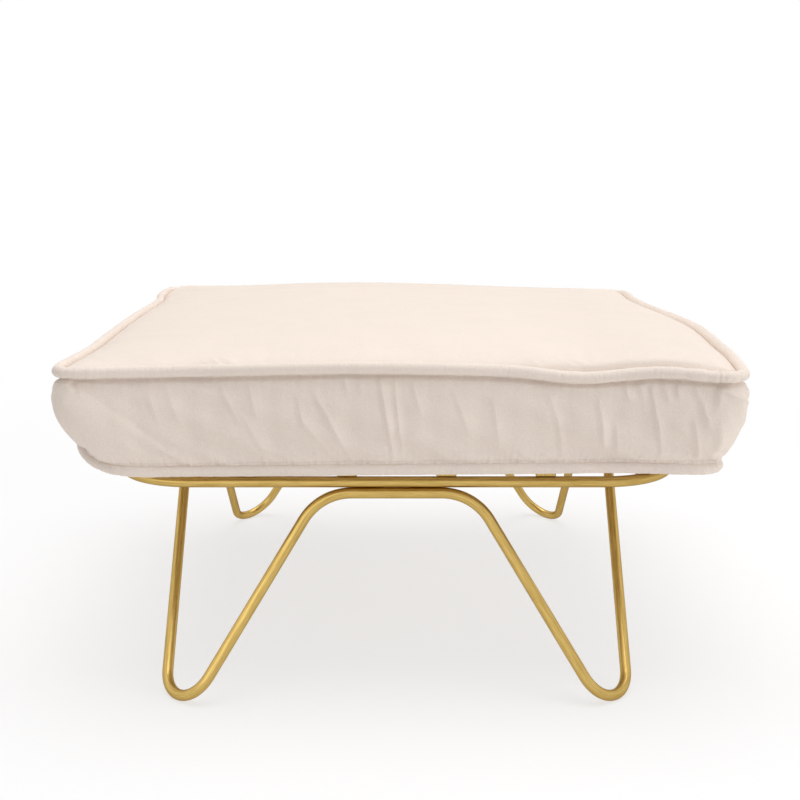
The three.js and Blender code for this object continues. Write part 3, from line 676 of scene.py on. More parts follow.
butt_weld("ring_joint_bead", (RING_JOINT, RING_HALF, RING_LEVEL), (1, 0, 0))
for end, out in (("left", -1), ("right", 1)):
    butt_weld(f"base_joint_bead_{end}", (out * SIDE_HALF, 0, RING_LEVEL), (0, 1, 0))
for side, back in (("front", -1), ("rear", 1)):
    for k, place in enumerate(STRAP_PLACES, start=1):
        reach, (in_x, in_y) = ring_reach(place)
        spot = (place, back * reach, RING_LEVEL)
        weld_bead(f"strap_bead_{side}_{k}", corner_section(), STRAP_BEAD, spot, (in_x, back * in_y))
    for end, out in (("left", -1), ("right", 1)):
        spot = (out * RUN_BEAD_PLACE, back * RING_HALF, (RING_LEVEL + RUN_LEVEL) / 2)
        weld_bead(f"run_bead_{side}_{end}", groove_section(), RUN_BEAD, spot, (0, -back))
        spot = (out * SIDE_HALF, back * SIDE_BEAD_PLACE, RING_LEVEL)
        weld_bead(f"side_bead_{side}_{end}", corner_section(), SIDE_BEAD, spot, (out, 0))

# %% [markdown]
# ## The cushion's seams
#
# A boxed cushion is a top panel, a bottom panel and a band of boxing between them, sewn together in
# two seams that go right round. Both seams follow one outline: straight in the middle of a side,
# where the zip needs it, easing out to the corners and round there. A real cushion isn't true, so a
# short table says where each seam rises, dips or stands out.

# %% The two seams
SIDE_COUNT = 97
AROUND = 4 * (SIDE_COUNT - 1)
# Half a side's straight stretch, and how far in from the corners it lies.
STRAIGHT_HALF, SIDE_INSET = 170, 6
TOP_HALF, TOP_LEVEL = 290, 300.6
BOTTOM_HALF, BOTTOM_LEVEL = 281.2, 212.5
# Corner radii from the front left corner round by the right. The lower front left one is the softest.
TOP_RADII = [14, 12, 22, 22]
BOTTOM_RADII = [46, 20, 45, 45]
# Where along the round (0 is the front left corner, 0.5 the middle of the front, 1 the front right
# corner and so on to 4), how wide in mm, how far out, how far up.
TOP_BUMPS = [
    (0.00, 45, 2, 0),
    (0.45, 120, 0, 3.2),
    (0.78, 45, 0, -6.0),
    (1.00, 40, 1, -5.5),
    (1.32, 200, 18, 7),
    (2.00, 60, 0, -2.0),
    (2.60, 170, 0, 7.5),
    (3.00, 60, 0, 1.5),
    (3.10, 45, 5, 0),
    (3.50, 190, 3, 2),
]
BOTTOM_BUMPS = [
    (3.92, 50, 2, 17),
    (0.20, 140, 0, -2.0),
    (0.90, 90, 0, 1.6),
    (1.00, 45, 3, 0.5),
    (1.50, 130, 8, 2),
    (2.00, 50, 0, 7),
    (3.00, 50, 0, 7),
]


def smooth_step(value, low, high):
    """0 up to low and 1 from high on, by 3 s^2 - 2 s^3 of the share s between."""
    share = np.clip((value - low) / (high - low), 0, 1)
    return share * share * (3 - 2 * share)


def bell(value, width):
    """The bell curve: e to the power of minus the square of the value over the width."""
    return np.exp(-((value / width) ** 2))


def side_curve(half, start, end):
    """One side from the middle of a corner's arc to the middle of the next, evenly by length.

    Along is the straight run plus the sines of both arcs, and out is the half span less what the
    arcs take and less the inset, which fades from the straight middle to the corners.
    """
    first, last = start * np.pi / 4, end * np.pi / 4
    straight = 2 * half - start - end
    run = np.linspace(0, first + straight + last, SIDE_COUNT)
    before = np.pi / 4 - np.clip(run, 0, first) / start
    after = np.clip(run - first - straight, 0, last) / end
    level_run = np.clip(run - first, 0, straight)
    along = start - half + level_run - start * np.sin(before) + end * np.sin(after)
    edge = half - np.where(along < 0, start, end)
    inset = SIDE_INSET * (1 - smooth_step(np.abs(along), STRAIGHT_HALF, edge))
    out = half - start * (1 - np.cos(before)) - end * (1 - np.cos(after)) - inset
    return along, out


def outward(loop):
    """The level direction out of a counterclockwise loop, at right angles to its run."""
    run = np.roll(loop, -1, axis=0) - np.roll(loop, 1, axis=0)
    return unit(np.stack([run[:, 1], -run[:, 0], np.zeros(len(run))], axis=1))


def seam_loop(half, radii, level, bumps):
    """Four sides joined into one loop from the front left corner, with the bumps as bell curves."""
    sides = []
    for side in range(4):
        along, out = side_curve(half, radii[side], radii[(side + 1) % 4])
        turn = side * np.pi / 2
        x = along * np.cos(turn) + out * np.sin(turn)
        y = along * np.sin(turn) - out * np.cos(turn)
        sides.append(np.stack([x, y, np.full(SIDE_COUNT, float(level))], axis=1)[:-1])
    loop = np.concatenate(sides)
    place = np.arange(AROUND) / (SIDE_COUNT - 1)
    normal = outward(loop)
    for spot, width, push, lift in bumps:
        away = ((place - spot + 2) % 4 - 2) * 2 * half
        loop = loop + bell(away, width)[:, None] * (normal * push + [0, 0, lift])
    return loop


top_seam = seam_loop(TOP_HALF, TOP_RADII, TOP_LEVEL, TOP_BUMPS)
bottom_seam = seam_loop(BOTTOM_HALF, BOTTOM_RADII, BOTTOM_LEVEL, BOTTOM_BUMPS)

# Where the cloth is caught, from the middle of each piping: how far in, and how far down or up. The
# upper roll stands free over a groove. The lower one lies flat under the boxing.
TOP_CATCH_IN, TOP_CATCH_DOWN = 2.5, 3.8
BOTTOM_CATCH_IN, BOTTOM_CATCH_UP = -1.2, 4.2
top_rim = top_seam - outward(top_seam) * TOP_CATCH_IN - [0, 0, TOP_CATCH_DOWN]
bottom_rim = bottom_seam - outward(bottom_seam) * BOTTOM_CATCH_IN + [0, 0, BOTTOM_CATCH_UP]
print("top seam from", top_seam[:, 2].min().round(1), "to", top_seam[:, 2].max().round(1), "mm")

# %% [markdown]
# ## Panels and boxing
#
# A panel has four curved sides, so its inside comes from a Coons patch: the blend of the left and
# right curves plus the blend of the front and rear ones, less the blend of the four corners. On top
# of that the upper panel rises to a crown, and the lower one lies flat on the straps and turns up
# to its seam. The boxing is a grid of rows between the two seams that fills out right under the
# piping and tucks in below. Its rows crowd at the seams, where it bends most. In the middle of the
# back it is flat, because the zip is sewn in there.

# %% Grids of the cover
ROW_COUNT, ROW_CROWDING = 20, 0.6
CROWN, CROWN_POWER = 8, 4
UNDERSIDE_LEVEL, UNDERSIDE_POWER = 203.6, 12
BOXING_LEAN = 2.5
# The boxing's bulge in mm, and the three numbers of its formula.
BOXING_BULGE, BULGE_PLACE, BULGE_POWER, BULGE_GAIN = 9, 0.6, 0.7, 0.5
# Where the zip lies, how far back, and half the flat stretch. The flat fades out over so many
# millimetres beside it, and between two distances from the middle row as shares of the height.
ZIP_LEVEL, ZIP_FACE, ZIP_HALF = 256.6, 283, 170
ZIP_FADE_NEAR, ZIP_FADE_FAR = 4, 75
ZIP_ROW_NEAR, ZIP_ROW_FAR = 0.15, 0.42

even_rows = np.linspace(0, 1, ROW_COUNT)
crowded_rows = (1 - np.cos(np.pi * even_rows)) / 2
down = even_rows * (1 - ROW_CROWDING) + crowded_rows * ROW_CROWDING


def loop_numbers(count):
    """Which point of the loop each edge point of a panel is: front, right, rear and left edges."""
    last = count - 1
    edge = np.arange(count)
    return edge, last + edge, 3 * last - edge, (4 * last - edge) % (4 * last)


def coons(loop):
    """The blend of opposite sides, both ways, less the blend of the corners, in plan and height."""
    front, right, rear, left = (loop[numbers] for numbers in loop_numbers(SIDE_COUNT))
    u = np.linspace(0, 1, SIDE_COUNT)[:, None, None]
    v = np.linspace(0, 1, SIDE_COUNT)[None, :, None]
    lengthwise = front[:, None] * (1 - v) + rear[:, None] * v
    crosswise = left[None] * (1 - u) + right[None] * u
    near = front[0] * (1 - u) + front[-1] * u
    far = rear[0] * (1 - u) + rear[-1] * u
    return lengthwise + crosswise - near * (1 - v) - far * v


def dome(power):
    """1 in the middle and 0 at the rim: (1 - s^power)(1 - t^power), flatter for a high power."""
    share = np.abs(np.linspace(-1, 1, SIDE_COUNT)) ** power
    return (1 - share)[:, None] * (1 - share)[None]


def boxing_grid():
    """Rows from the top rim down. The height runs evenly with the share down, and the plan leaves
    the top rim for the bottom rim with the share to a power, so it stays wide and then tucks in.
    The bulge is the sine of pi times the share to 0.6, to a power from 0.7 above to 1.2 below, so
    it is full soon under the upper rim and runs out gently towards the lower one.
    """
    share = down[:, None, None]
    way = np.concatenate([np.repeat(share**BOXING_LEAN, 2, axis=2), share], axis=2)
    wave = np.abs(np.sin(np.pi * share**BULGE_PLACE))
    bulge = BOXING_BULGE * wave ** (BULGE_POWER + BULGE_GAIN * share)
    return top_rim * (1 - way) + bottom_rim * way + outward((top_rim + bottom_rim) / 2) * bulge


def zip_share(grid):
    """1 where the boxing is sewn flat for the zip, fading to 0 round it, by row and place."""
    above = np.abs(down - 0.5)[:, None]
    beside = smooth_step(np.abs(grid[..., 0]), ZIP_HALF + ZIP_FADE_FAR, ZIP_HALF + ZIP_FADE_NEAR)
    return (grid[..., 1] > 0) * beside * smooth_step(above, ZIP_ROW_FAR, ZIP_ROW_NEAR)


top_panel = coons(top_rim)
top_panel[..., 2] += CROWN * dome(CROWN_POWER)
bottom_panel = coons(bottom_rim)
flat = dome(UNDERSIDE_POWER)
bottom_panel[..., 2] = UNDERSIDE_LEVEL * flat + bottom_panel[..., 2] * (1 - flat)
boxing = boxing_grid()
sewn_flat = zip_share(boxing)[..., None]
level_rows = (ZIP_LEVEL + (0.5 - down) * (TOP_LEVEL - BOTTOM_LEVEL))[:, None]
target = np.stack(np.broadcast_arrays(boxing[..., 0], float(ZIP_FACE), level_rows), axis=-1)
boxing = boxing * (1 - sewn_flat) + target * sewn_flat
print("panels", top_panel.shape[:2], "boxing", boxing.shape[:2])

# %% [markdown]
# ## Filling it: a cloth simulation
#
# The velvet is cut a little larger than the foam, so it fills out between the seams and gathers in
# folds. The cloth starts in its cut size, and the two seams, which are pinned, are drawn in to their
# real places over the first frames by a shape key, as the needle does. Pressure from the foam pushes
# the cloth out, and the spare width has to fold. The boxing is also cut with a slant, as it was sewn
# with the lower edge a little ahead of the upper, which is why its folds lean. A soft cap keeps the
# swelling in bounds.

# %% Simulate the filling
PRESSURE = 12
QUALITY, STRETCH_STIFFNESS, SHEAR_STIFFNESS, BENDING_STIFFNESS = 6, 15, 8, 0.3
SEWING_FRAMES, FRAMES = 10, 22
# Spare cloth as a share of its size, and how far the boxing's lower edge is cut ahead, in mm.
BOXING_SPARE, PANEL_SPARE = 0.01, 0.003
BOXING_SLANT = 5
TOP_CAP, BOXING_CAP, BOTTOM_CAP = 4.0, 5.0, 2.2
# The underside is held where it lies on a strap, and so many millimetres beside it. The boxing is
# held where it is flat for the zip to at least this share.
STRAP_HOLD = 2
FLAT_HOLD = 0.98


def cut_pattern():
    """The rest shape: boxing wider, higher and slanted, panels a little wider, none at the zip."""
    wide = np.array([1 + BOXING_SPARE, 1 + BOXING_SPARE, 1.0])
    cut = boxing * wide
    middle = (TOP_LEVEL + BOTTOM_LEVEL) / 2
    cut[..., 2] = middle + (cut[..., 2] - middle) * (1 + BOXING_SPARE / 2)
    normal = outward((top_rim + bottom_rim) / 2)
    run = np.stack([-normal[:, 1], normal[:, 0], normal[:, 2]], axis=1)
    cut = cut - run * down[:, None, None] * BOXING_SLANT
    cut = cut * (1 - sewn_flat) + boxing * sewn_flat
    panel = np.array([1 + PANEL_SPARE, 1 + PANEL_SPARE, 1.0])
    return [top_panel * panel, cut, bottom_panel]


def pinned_points():
    """1 at the seams, at the zip, and where the underside lies on a strap."""
    rim = np.ones((SIDE_COUNT, SIDE_COUNT))
    rim[1:-1, 1:-1] = 0
    band = (sewn_flat[..., 0] > FLAT_HOLD).astype(float)
    band[[0, -1]] = 1
    across = np.abs(bottom_panel[..., 0, None] - np.array(STRAP_PLACES)).min(axis=-1)
    on_strap = (across < STRAP_HALF_WIDTH + STRAP_HOLD) & (np.abs(bottom_panel[..., 1]) < RING_HALF)
    return [rim, band, np.maximum(rim, on_strap)]


def soft_cap(move, cap):
    """The move shortened so that it never passes the cap: cap times tanh(length / cap)."""
    length = np.linalg.norm(move, axis=-1, keepdims=True)
    return move * np.where(length > 0, cap * np.tanh(length / cap) / np.maximum(length, 1e-9), 1)


def cloth_sheets(cut, sewn, quads, pins):
    """A mesh in its cut size, with a shape key that draws it in to its sewn size, and its pins."""
    mesh = bpy.data.meshes.new("cloth")
    mesh.from_pydata(cut.tolist(), [], quads.tolist())
    sheets = bpy.data.objects.new("cloth", mesh)
    bpy.context.scene.collection.objects.link(sheets)
    group = sheets.vertex_groups.new(name="sewn")
    group.add(np.flatnonzero(pins > 0.5).tolist(), 1.0, "REPLACE")
    sheets.shape_key_add(name="cut")
    sewing = sheets.shape_key_add(name="sewn")
    sewing.data.foreach_set("co", sewn.ravel())
    for frame_number, share in ((1, 0.0), (SEWING_FRAMES, 1.0)):
        sewing.value = share
        sewing.keyframe_insert("value", frame=frame_number)
    return sheets


def simulate(parts, cuts, pins):
    """Three sheets of cloth with the same seam points, sewn, filled and read back as moves."""
    sizes = [part.shape[:2] for part in parts]
    firsts = np.cumsum([0] + [rows * columns for rows, columns in sizes])
    faces = [
        grid_faces(SIDE_COUNT, SIDE_COUNT)[:, ::-1],
        grid_faces(ROW_COUNT, AROUND, columns_close=True)[:, ::-1],
        grid_faces(SIDE_COUNT, SIDE_COUNT),
    ]
    quads = np.concatenate([quad + first for quad, first in zip(faces, firsts)])
    start = np.concatenate([part.reshape(-1, 3) for part in parts]) * MM
    cut = np.concatenate([part.reshape(-1, 3) for part in cuts]) * MM
    sheets = cloth_sheets(cut, start, quads, np.concatenate([pin.ravel() for pin in pins]))
    cloth = sheets.modifiers.new("cloth", "CLOTH")
    settings = cloth.settings
    settings.quality = QUALITY
    settings.vertex_group_mass = "sewn"
    settings.use_pressure = True
    settings.uniform_pressure_force = PRESSURE
    settings.tension_stiffness = settings.compression_stiffness = STRETCH_STIFFNESS
    settings.shear_stiffness = SHEAR_STIFFNESS
    settings.bending_stiffness = BENDING_STIFFNESS
    settings.effector_weights.gravity = 0
    cloth.point_cache.frame_end = FRAMES
    scene = bpy.context.scene
    for step in range(1, FRAMES + 1):
        scene.frame_set(step)
    result = sheets.evaluated_get(bpy.context.evaluated_depsgraph_get()).data
    filled = np.empty(len(start) * 3)
    result.vertices.foreach_get("co", filled)
    bpy.data.objects.remove(sheets)
    scene.frame_set(1)
    moves = (filled.reshape(-1, 3) - start) / MM
    return [moves[a:b].reshape(*size, 3) for a, b, size in zip(firsts, firsts[1:], sizes)]


grids = [top_panel, boxing, bottom_panel]
moves = simulate(grids, cut_pattern(), pinned_points())
for grid, move, cap in zip(grids, moves, (TOP_CAP, BOXING_CAP, BOTTOM_CAP)):
    grid += soft_cap(move, cap)
    swelling = float(np.linalg.norm(move, axis=-1).max())
    print("swelling up to", round(swelling, 1), "mm, held to", cap)

# %% [markdown]
# ## A finer grid
#
# The simulation runs on cells of 6 mm. Each grid is then doubled by four-point interpolation: a new
# point is 9/16 of each near neighbour less 1/16 of each far one. That passes through the old points
# and stays smooth, as one level of a subdivision surface would, but keeps the rows and columns. The
# boxing is doubled three times along its run, because its folds are a few millimetres wide.

# %% Double the grids
RUN_DOUBLINGS = 3


def doubled(grid, axis, closed=False):
    """Twice as fine along an axis: the old points, and between them the four-point average."""
    grid = np.moveaxis(grid, axis, 0)
    if closed:
        before, after, far = (np.roll(grid, shift, axis=0) for shift in (1, -1, -2))
        middle = (9 * (grid + after) - before - far) / 16
        fine = np.stack([grid, middle], axis=1).reshape(-1, *grid.shape[1:])
    else:
        ends = [2 * grid[:1] - grid[1:2], grid, 2 * grid[-1:] - grid[-2:-1]]
        wide = np.concatenate(ends)
        middle = (9 * (wide[1:-2] + wide[2:-1]) - wide[:-3] - wide[3:]) / 16
        fine = np.empty((2 * len(grid) - 1, *grid.shape[1:]))
        fine[::2], fine[1::2] = grid, middle
    return np.moveaxis(fine, 0, axis)


def fine_band(grid):
    """The boxing's rows doubled once, and its run more often."""
    grid = doubled(grid, 0)
    for _ in range(RUN_DOUBLINGS):
        grid = doubled(grid, 1, closed=True)
    return grid


top_panel = doubled(doubled(top_panel, 0), 1)
bottom_panel = doubled(doubled(bottom_panel, 0), 1)
boxing = fine_band(boxing)
fine_down = doubled(down, 0)
fine_flat = np.clip(fine_band(sewn_flat[..., 0]), 0, 1)
FINE_COUNT = top_panel.shape[0]
FINE_ROWS, FINE_AROUND = boxing.shape[:2]
print("fine boxing", FINE_ROWS, "rows of", FINE_AROUND)

# %% [markdown]
# ## The panel's edge
#
# A filled panel doesn't leave its seam level. It rises steeply beside the piping and leaves a narrow
# valley along it. At the front, right of the middle, the filling is pushed up a little higher and
# over the piping, and there are a few small crumples.

# %% Raise the upper panel beside its piping
EDGE_RISE, EDGE_WIDTH = 7.5, 5
# The puff: height, way forward, middle, half width, and how far back it runs out. It starts at the
# seam and is full after two short widths, one for its height and one for its way forward.
PUFF_RISE, PUFF_SHIFT, PUFF_PLACE, PUFF_HALF, PUFF_REACH = 6, 6, 198, 88, 55
PUFF_RISE_WIDTH, PUFF_SHIFT_WIDTH = 4, 6
# Small crumples beside the front piping: place, half width and height.
CRUMPLES = [(-157, 14, 2.2), (118, 16, 1.3), (148, 20, 1.5)]
# How far from the seam they lie, their half depth, their slant, and their spacing, which grows to
# the right by a share of the way.
CRUMPLE_BACK, CRUMPLE_DEPTH, CRUMPLE_SLANT = 10, 5, 0.9
CRUMPLE_SPACING, CRUMPLE_WIDENING = 9, 0.15


def puffed(panel, ahead, front_half):
    """The panel moved up and forwards, by how far along the front and how far from it a point is."""
    along = np.exp(-(np.abs((panel[..., 0] - PUFF_PLACE) / PUFF_HALF) ** 3))
    reach = bell(ahead, PUFF_REACH) * along * front_half
    forward = PUFF_SHIFT * (1 - np.exp(-((ahead / PUFF_SHIFT_WIDTH) ** 1.5))) * reach
    up = PUFF_RISE * (1 - bell(ahead, PUFF_RISE_WIDTH)) * reach
    return panel + np.stack([np.zeros_like(up), -forward, up], axis=-1)


def crumpled(panel, ahead, front_half):
    """The height of the crumples: slanting cosine waves inside a patch that fades all round."""
    height = np.zeros(panel.shape[:2])
    for spot, half_width, swell in CRUMPLES:
        away = panel[..., 0] - spot
        patch = bell(away, half_width) * bell(ahead - CRUMPLE_BACK, CRUMPLE_DEPTH) * front_half
        spacing = CRUMPLE_SPACING + CRUMPLE_WIDENING * away
        height += swell * patch * np.cos(2 * np.pi * (away + CRUMPLE_SLANT * ahead) / spacing)
    return height


panel_share = np.linspace(0, 1, FINE_COUNT)
from_edge = 2 * TOP_HALF * np.minimum(panel_share, 1 - panel_share)
edge_step = 1 - np.exp(-from_edge / EDGE_WIDTH)
edge_rise = EDGE_RISE * edge_step[:, None] * edge_step
front_half = panel_share < 0.5
top_panel = puffed(top_panel, from_edge, front_half)
top_panel[..., 2] += edge_rise + crumpled(top_panel, from_edge, front_half)
print("panel's edge rises", edge_rise.max().round(1), "mm")
print("panel's highest point", top_panel[..., 2].max().round(1), "mm")

# %% [markdown]
# ## Folds and puckers
#
# What the simulation can't know is where this cushion's own folds lie. Each one is a narrow crest with
# a sharp dip on its left and a wide shallow one on its right. It runs slanting down the boxing,
# because the lower edge was sewn a little ahead of the upper, and fades at its ends. Those on the
# front are placed one by one, and the other sides get the same kind from a seeded draw. Close to the
# seams the cloth is gathered in short puckers, a sum of waves with seeded phases.

# %% Folds
# Places along the round are measured with every side at this length.
SIDE_RUN = 570
# On the front: start and end from its middle, start and end down the boxing, height, half width.
FRONT_FOLDS = [
    (-214, -204, 0.06, 0.60, 0.9, 3.0),
    (-198, -184, 0.05, 0.60, 0.8, 3.0),
    (-150, -132, 0.10, 0.62, 1.3, 3.0),
    (-138, -114, 0.30, 0.93, 1.2, 3.3),
    (-126, -120, 0.08, 0.50, 0.7, 2.6),
    (-86, -80, 0.16, 0.62, 0.8, 2.8),
    (-74, -42, 0.08, 0.95, 1.7, 3.2),
    (-86, -60, 0.40, 0.90, 1.3, 3.0),
    (-44, -42, 0.02, 0.24, 0.9, 2.8),
    (-32, -30, 0.02, 0.22, 0.8, 2.8),
    (-14, -4, 0.01, 0.94, 1.9, 2.8),
    (-2, 4, 0.03, 0.92, 1.5, 2.6),
    (12, 22, 0.02, 0.48, 0.9, 2.8),
    (48, 64, 0.14, 0.70, 0.9, 3.0),
    (82, 90, 0.20, 0.86, 0.8, 3.0),
    (130, 136, 0.12, 0.38, 0.9, 2.8),
    (136, 148, 0.30, 0.95, 1.7, 3.0),
    (172, 184, 0.18, 0.93, 1.7, 3.0),
    (188, 196, 0.44, 0.94, 1.2, 2.8),
    (194, 200, 0.02, 0.26, 1.2, 2.8),
    (206, 214, 0.02, 0.30, 1.2, 2.8),
    (216, 236, 0.06, 0.96, 2.2, 3.0),
    (226, 234, 0.02, 0.28, 1.4, 2.8),
    (236, 242, 0.02, 0.22, 1.2, 2.8),
    (252, 274, 0.04, 0.62, 1.9, 3.2),
    (254, 270, 0.38, 0.97, 2.0, 2.8),
    (274, 282, 0.40, 0.88, 1.9, 2.8),
    (282, 292, 0.22, 0.56, 1.8, 2.8),
    (276, 288, 0.02, 0.30, 1.5, 2.6),
    (270, 294, 0.02, 0.30, 1.8, 2.4),
    (280, 302, 0.02, 0.20, 1.4, 2.2),
    (288, 308, 0.10, 0.36, 1.4, 2.2),
]
# Drawn folds on each of the other sides: how many, how far from its ends, how far from an even
# spacing, and the limits of start and end down the boxing, of slant, and of height and half width.
SIDE_FOLDS, SIDE_MARGIN, SIDE_WANDER = 20, 20, 12
SIDE_STARTS, SIDE_ENDS, SIDE_SLANTS = (0.02, 0.35), (0.55, 0.95), (8, 26)
SIDE_SHAPES = ((0.7, 2.6), (1.6, 3.4))
# Short ones at each corner: how many, how far to both sides, and the same limits.
CORNER_FOLDS, CORNER_SPREAD = 5, 24
CORNER_START, CORNER_ENDS, CORNER_SLANT = 0.02, (0.16, 0.34), 0.2
CORNER_SHAPES = ((0.9, 2.4), (1.6, 3.2))
# The dips left and right of a crest: depth as a share of its height, place and width in half widths.
DIPS = [(0.3, -1.7, 0.9), (0.25, 3.6, 2.6)]


def all_folds(generator):
    """The front's folds by their place on the round, and drawn ones on the other sides and corners.

    A fold is its start and end along the round, its start and end down the boxing, its height and
    its half width.
    """
    middle = SIDE_RUN / 2
    folds = [(middle + start, middle + end, *rest) for start, end, *rest in FRONT_FOLDS]
    even = np.linspace(SIDE_MARGIN, SIDE_RUN - SIDE_MARGIN, SIDE_FOLDS)
    for side in (1, 2, 3):
        for spot in even + generator.uniform(-SIDE_WANDER, SIDE_WANDER, SIDE_FOLDS):
            start = side * SIDE_RUN + spot
            low, high = generator.uniform(*SIDE_STARTS), generator.uniform(*SIDE_ENDS)
            slant = generator.uniform(*SIDE_SLANTS) * (high - low)
            folds.append((start, start + slant, low, high, *generator.uniform(*SIDE_SHAPES)))
    for corner in range(4):
        for spot in generator.uniform(-CORNER_SPREAD, CORNER_SPREAD, CORNER_FOLDS):
            start = corner * SIDE_RUN + spot
            end = start + CORNER_SLANT * spot
            high = generator.uniform(*CORNER_ENDS)
            folds.append((start, end, CORNER_START, high, *generator.uniform(*CORNER_SHAPES)))
    return folds


def fold_relief(folds, place, shares):
    """The sum of folds: a crest e^(-|t|^1.3), less a narrow dip left of it and a wide one right.

    T is the distance along the round from the fold's own slanting line, over its half width, and
    each fold fades in and out by the sine of pi times the share of its way down, to the power 0.6.
    """
    whole = 4 * SIDE_RUN
    relief = np.zeros((len(shares), len(place)))
    for start, end, low, high, height, width in folds:
        share = np.clip((shares - low) / (high - low), 0, 1)[:, None]
        centre = start + (end - start) * share
        t = ((place[None] - centre + whole / 2) % whole - whole / 2) / width
        crest = np.exp(-(np.abs(t) ** 1.3))
        dips = sum(depth * bell(t - spot, wide) for depth, spot, wide in DIPS)
        relief += height * (crest - dips) * np.sin(np.pi * share) ** 0.6
    return relief


def loop_waves(run, total, wavelengths, generator):
    """Cosines along a closed run with seeded phases, each fitted to a whole number of waves."""
    wave = np.zeros_like(run)
    for length in wavelengths:
        phase = generator.uniform(0, 2 * np.pi)
        wave += np.cos(2 * np.pi * round(total / length) * run / total + phase)
    return wave / np.sqrt(len(wavelengths))


# Puckers at the upper and at the lower seam: depth, reach as a share of the height, wavelengths.
UPPER_PUCKER = (0.35, 0.09, (7.5, 11, 17))
LOWER_PUCKER = (0.3, 0.1, (5.2, 6.8, 9.7))
SLACK_DEPTH, SLACK_WAVES = 0.5, (23, 37, 61)
FOLD_SEED = 11
# The stitch line and the groove under the upper piping: share down, depth, half width as a share.
STITCH_SHARE, STITCH_DEPTH, STITCH_WIDTH = 0.96, 0.5, 0.012
GROOVE_SHARE, GROOVE_DEPTH, GROOVE_WIDTH = 0.02, 2.2, 0.016
# The filling swells the front left corner, over so many millimetres to both sides.
CORNER_SWELL, CORNER_REACH = 4, 50


def boxing_relief(place, shares, generator):
    """How far the boxing stands out: folds, puckers at both seams, slack waves and seam lines."""
    whole = 4 * SIDE_RUN
    relief = fold_relief(all_folds(generator), place, shares)
    for edge, (depth, reach, lengths) in ((shares, UPPER_PUCKER), (1 - shares, LOWER_PUCKER)):
        relief += depth * loop_waves(place, whole, lengths, generator) * np.exp(-edge / reach)[:, None]
    swell = np.sin(np.pi * shares)[:, None]
    relief += SLACK_DEPTH * loop_waves(place, whole, SLACK_WAVES, generator) * swell
    relief -= STITCH_DEPTH * bell(shares - STITCH_SHARE, STITCH_WIDTH)[:, None]
    relief -= GROOVE_DEPTH * bell(shares - GROOVE_SHARE, GROOVE_WIDTH)[:, None]
    from_corner = np.minimum(place, whole - place)
    return relief + CORNER_SWELL * bell(from_corner, CORNER_REACH) * swell


around_place = np.arange(FINE_AROUND) * 4 * SIDE_RUN / FINE_AROUND
zip_row = FINE_ROWS // 2
middle_row = boxing[zip_row]
relief = boxing_relief(around_place, fine_down, np.random.default_rng(FOLD_SEED))
relief *= (1 - fine_flat) * (fine_down * (1 - fine_down) > 0)[:, None]
boxing += outward(middle_row) * relief[..., None]
print("folds stand out", relief.max().round(2), "and sink", relief.min().round(2), "mm")

# %% [markdown]
# ## The opening for the zip
#
# Where the zip is sewn in, the two edges of the boxing are folded under and leave a slot 8 mm wide,
# through which the tapes and the coil show. The rows of the grid there are moved to a fixed profile:
# a soft lip, a wall, and a floor behind the tapes.

# %% Zip opening
# From the middle row outwards, row by row: how far above or below the zip, and how far back.
SLOT_UP = np.array([0, 3.8, 4.1, 5.0, 7.0, 9.5])
SLOT_BACK = np.array([279.9, 279.9, 282.7, 283.2, 283.0, 283.0])
SLOT_HALF, SLOT_FADE = 165, 6

steps = np.arange(1 - len(SLOT_UP), len(SLOT_UP))
slot_rows = boxing[zip_row + steps[0] : zip_row + steps[-1] + 1]
slot_back = SLOT_BACK[np.abs(steps)][:, None]
slot_level = (ZIP_LEVEL - np.sign(steps) * SLOT_UP[np.abs(steps)])[:, None]
profile = np.stack(np.broadcast_arrays(slot_rows[..., 0], slot_back, slot_level), axis=-1)
from_middle = np.abs(middle_row[:, 0])
open_share = (middle_row[:, 1] > 0) * smooth_step(from_middle, SLOT_HALF + SLOT_FADE, SLOT_HALF)
slot_rows += (profile - slot_rows) * open_share[:, None]
print("zip opening", 2 * SLOT_HALF, "mm long and", 2 * SLOT_UP[2], "mm wide at its lips")

# %% [markdown]
# ## One closed cover
#
# The three grids become one mesh. The boxing is finer than the panels, so a strip of triangles joins
# each panel's rim to the boxing's edge, 1 mm outside it. The piping hides both strips.

# %% Join panels and boxing
RIM_INSET = 1
RIM_SCALE = 1 - RIM_INSET / TOP_HALF


def rim_numbers(count):
    """The numbers of a panel's rim points in its own grid, as one loop from the front left corner."""
    number = np.arange(count**2).reshape(count, count)
    return np.concatenate([number[:-1, 0], number[-1, :-1], number[:0:-1, -1], number[0, :0:-1]])


def closed_box(top, band, bottom):
    """Points and faces of a box: a band, two panels, and a strip of triangles at each panel's rim.

    The band may have several points for each point of a rim. Each rim point then has a fan to the
    band's points from its own to the next rim point's, and one more triangle closes the step.
    """
    count = top.shape[0]
    rows, around = band.shape[:2]
    ratio = around // (4 * (count - 1))
    loop = rim_numbers(count)
    quads = [grid_faces(rows, around, columns_close=True)[:, ::-1]]
    strips = []
    upper = (0, rows * around, -1)
    lower = ((rows - 1) * around, rows * around + count**2, 1)
    for edge, first, flip in (upper, lower):
        quads.append((grid_faces(count, count) + first)[:, ::flip])
        inner = first + loop
        outer = edge + ratio * np.arange(len(loop))[:, None] + np.arange(ratio + 1)
        outer[-1, -1] = edge
        fans = [np.stack([inner, outer[:, k + 1], outer[:, k]], axis=1) for k in range(ratio)]
        fans.append(np.stack([inner, np.roll(inner, -1), outer[:, -1]], axis=1))
        strips.append(np.concatenate(fans)[:, ::flip])
    points = np.concatenate([part.reshape(-1, 3) for part in (band, top, bottom)])
    return points, np.concatenate(quads), np.concatenate(strips)


def inside_rim(panel):
    """The panel with its plan drawn in a little, so that its rim lies within the band's."""
    return panel * [RIM_SCALE, RIM_SCALE, 1]


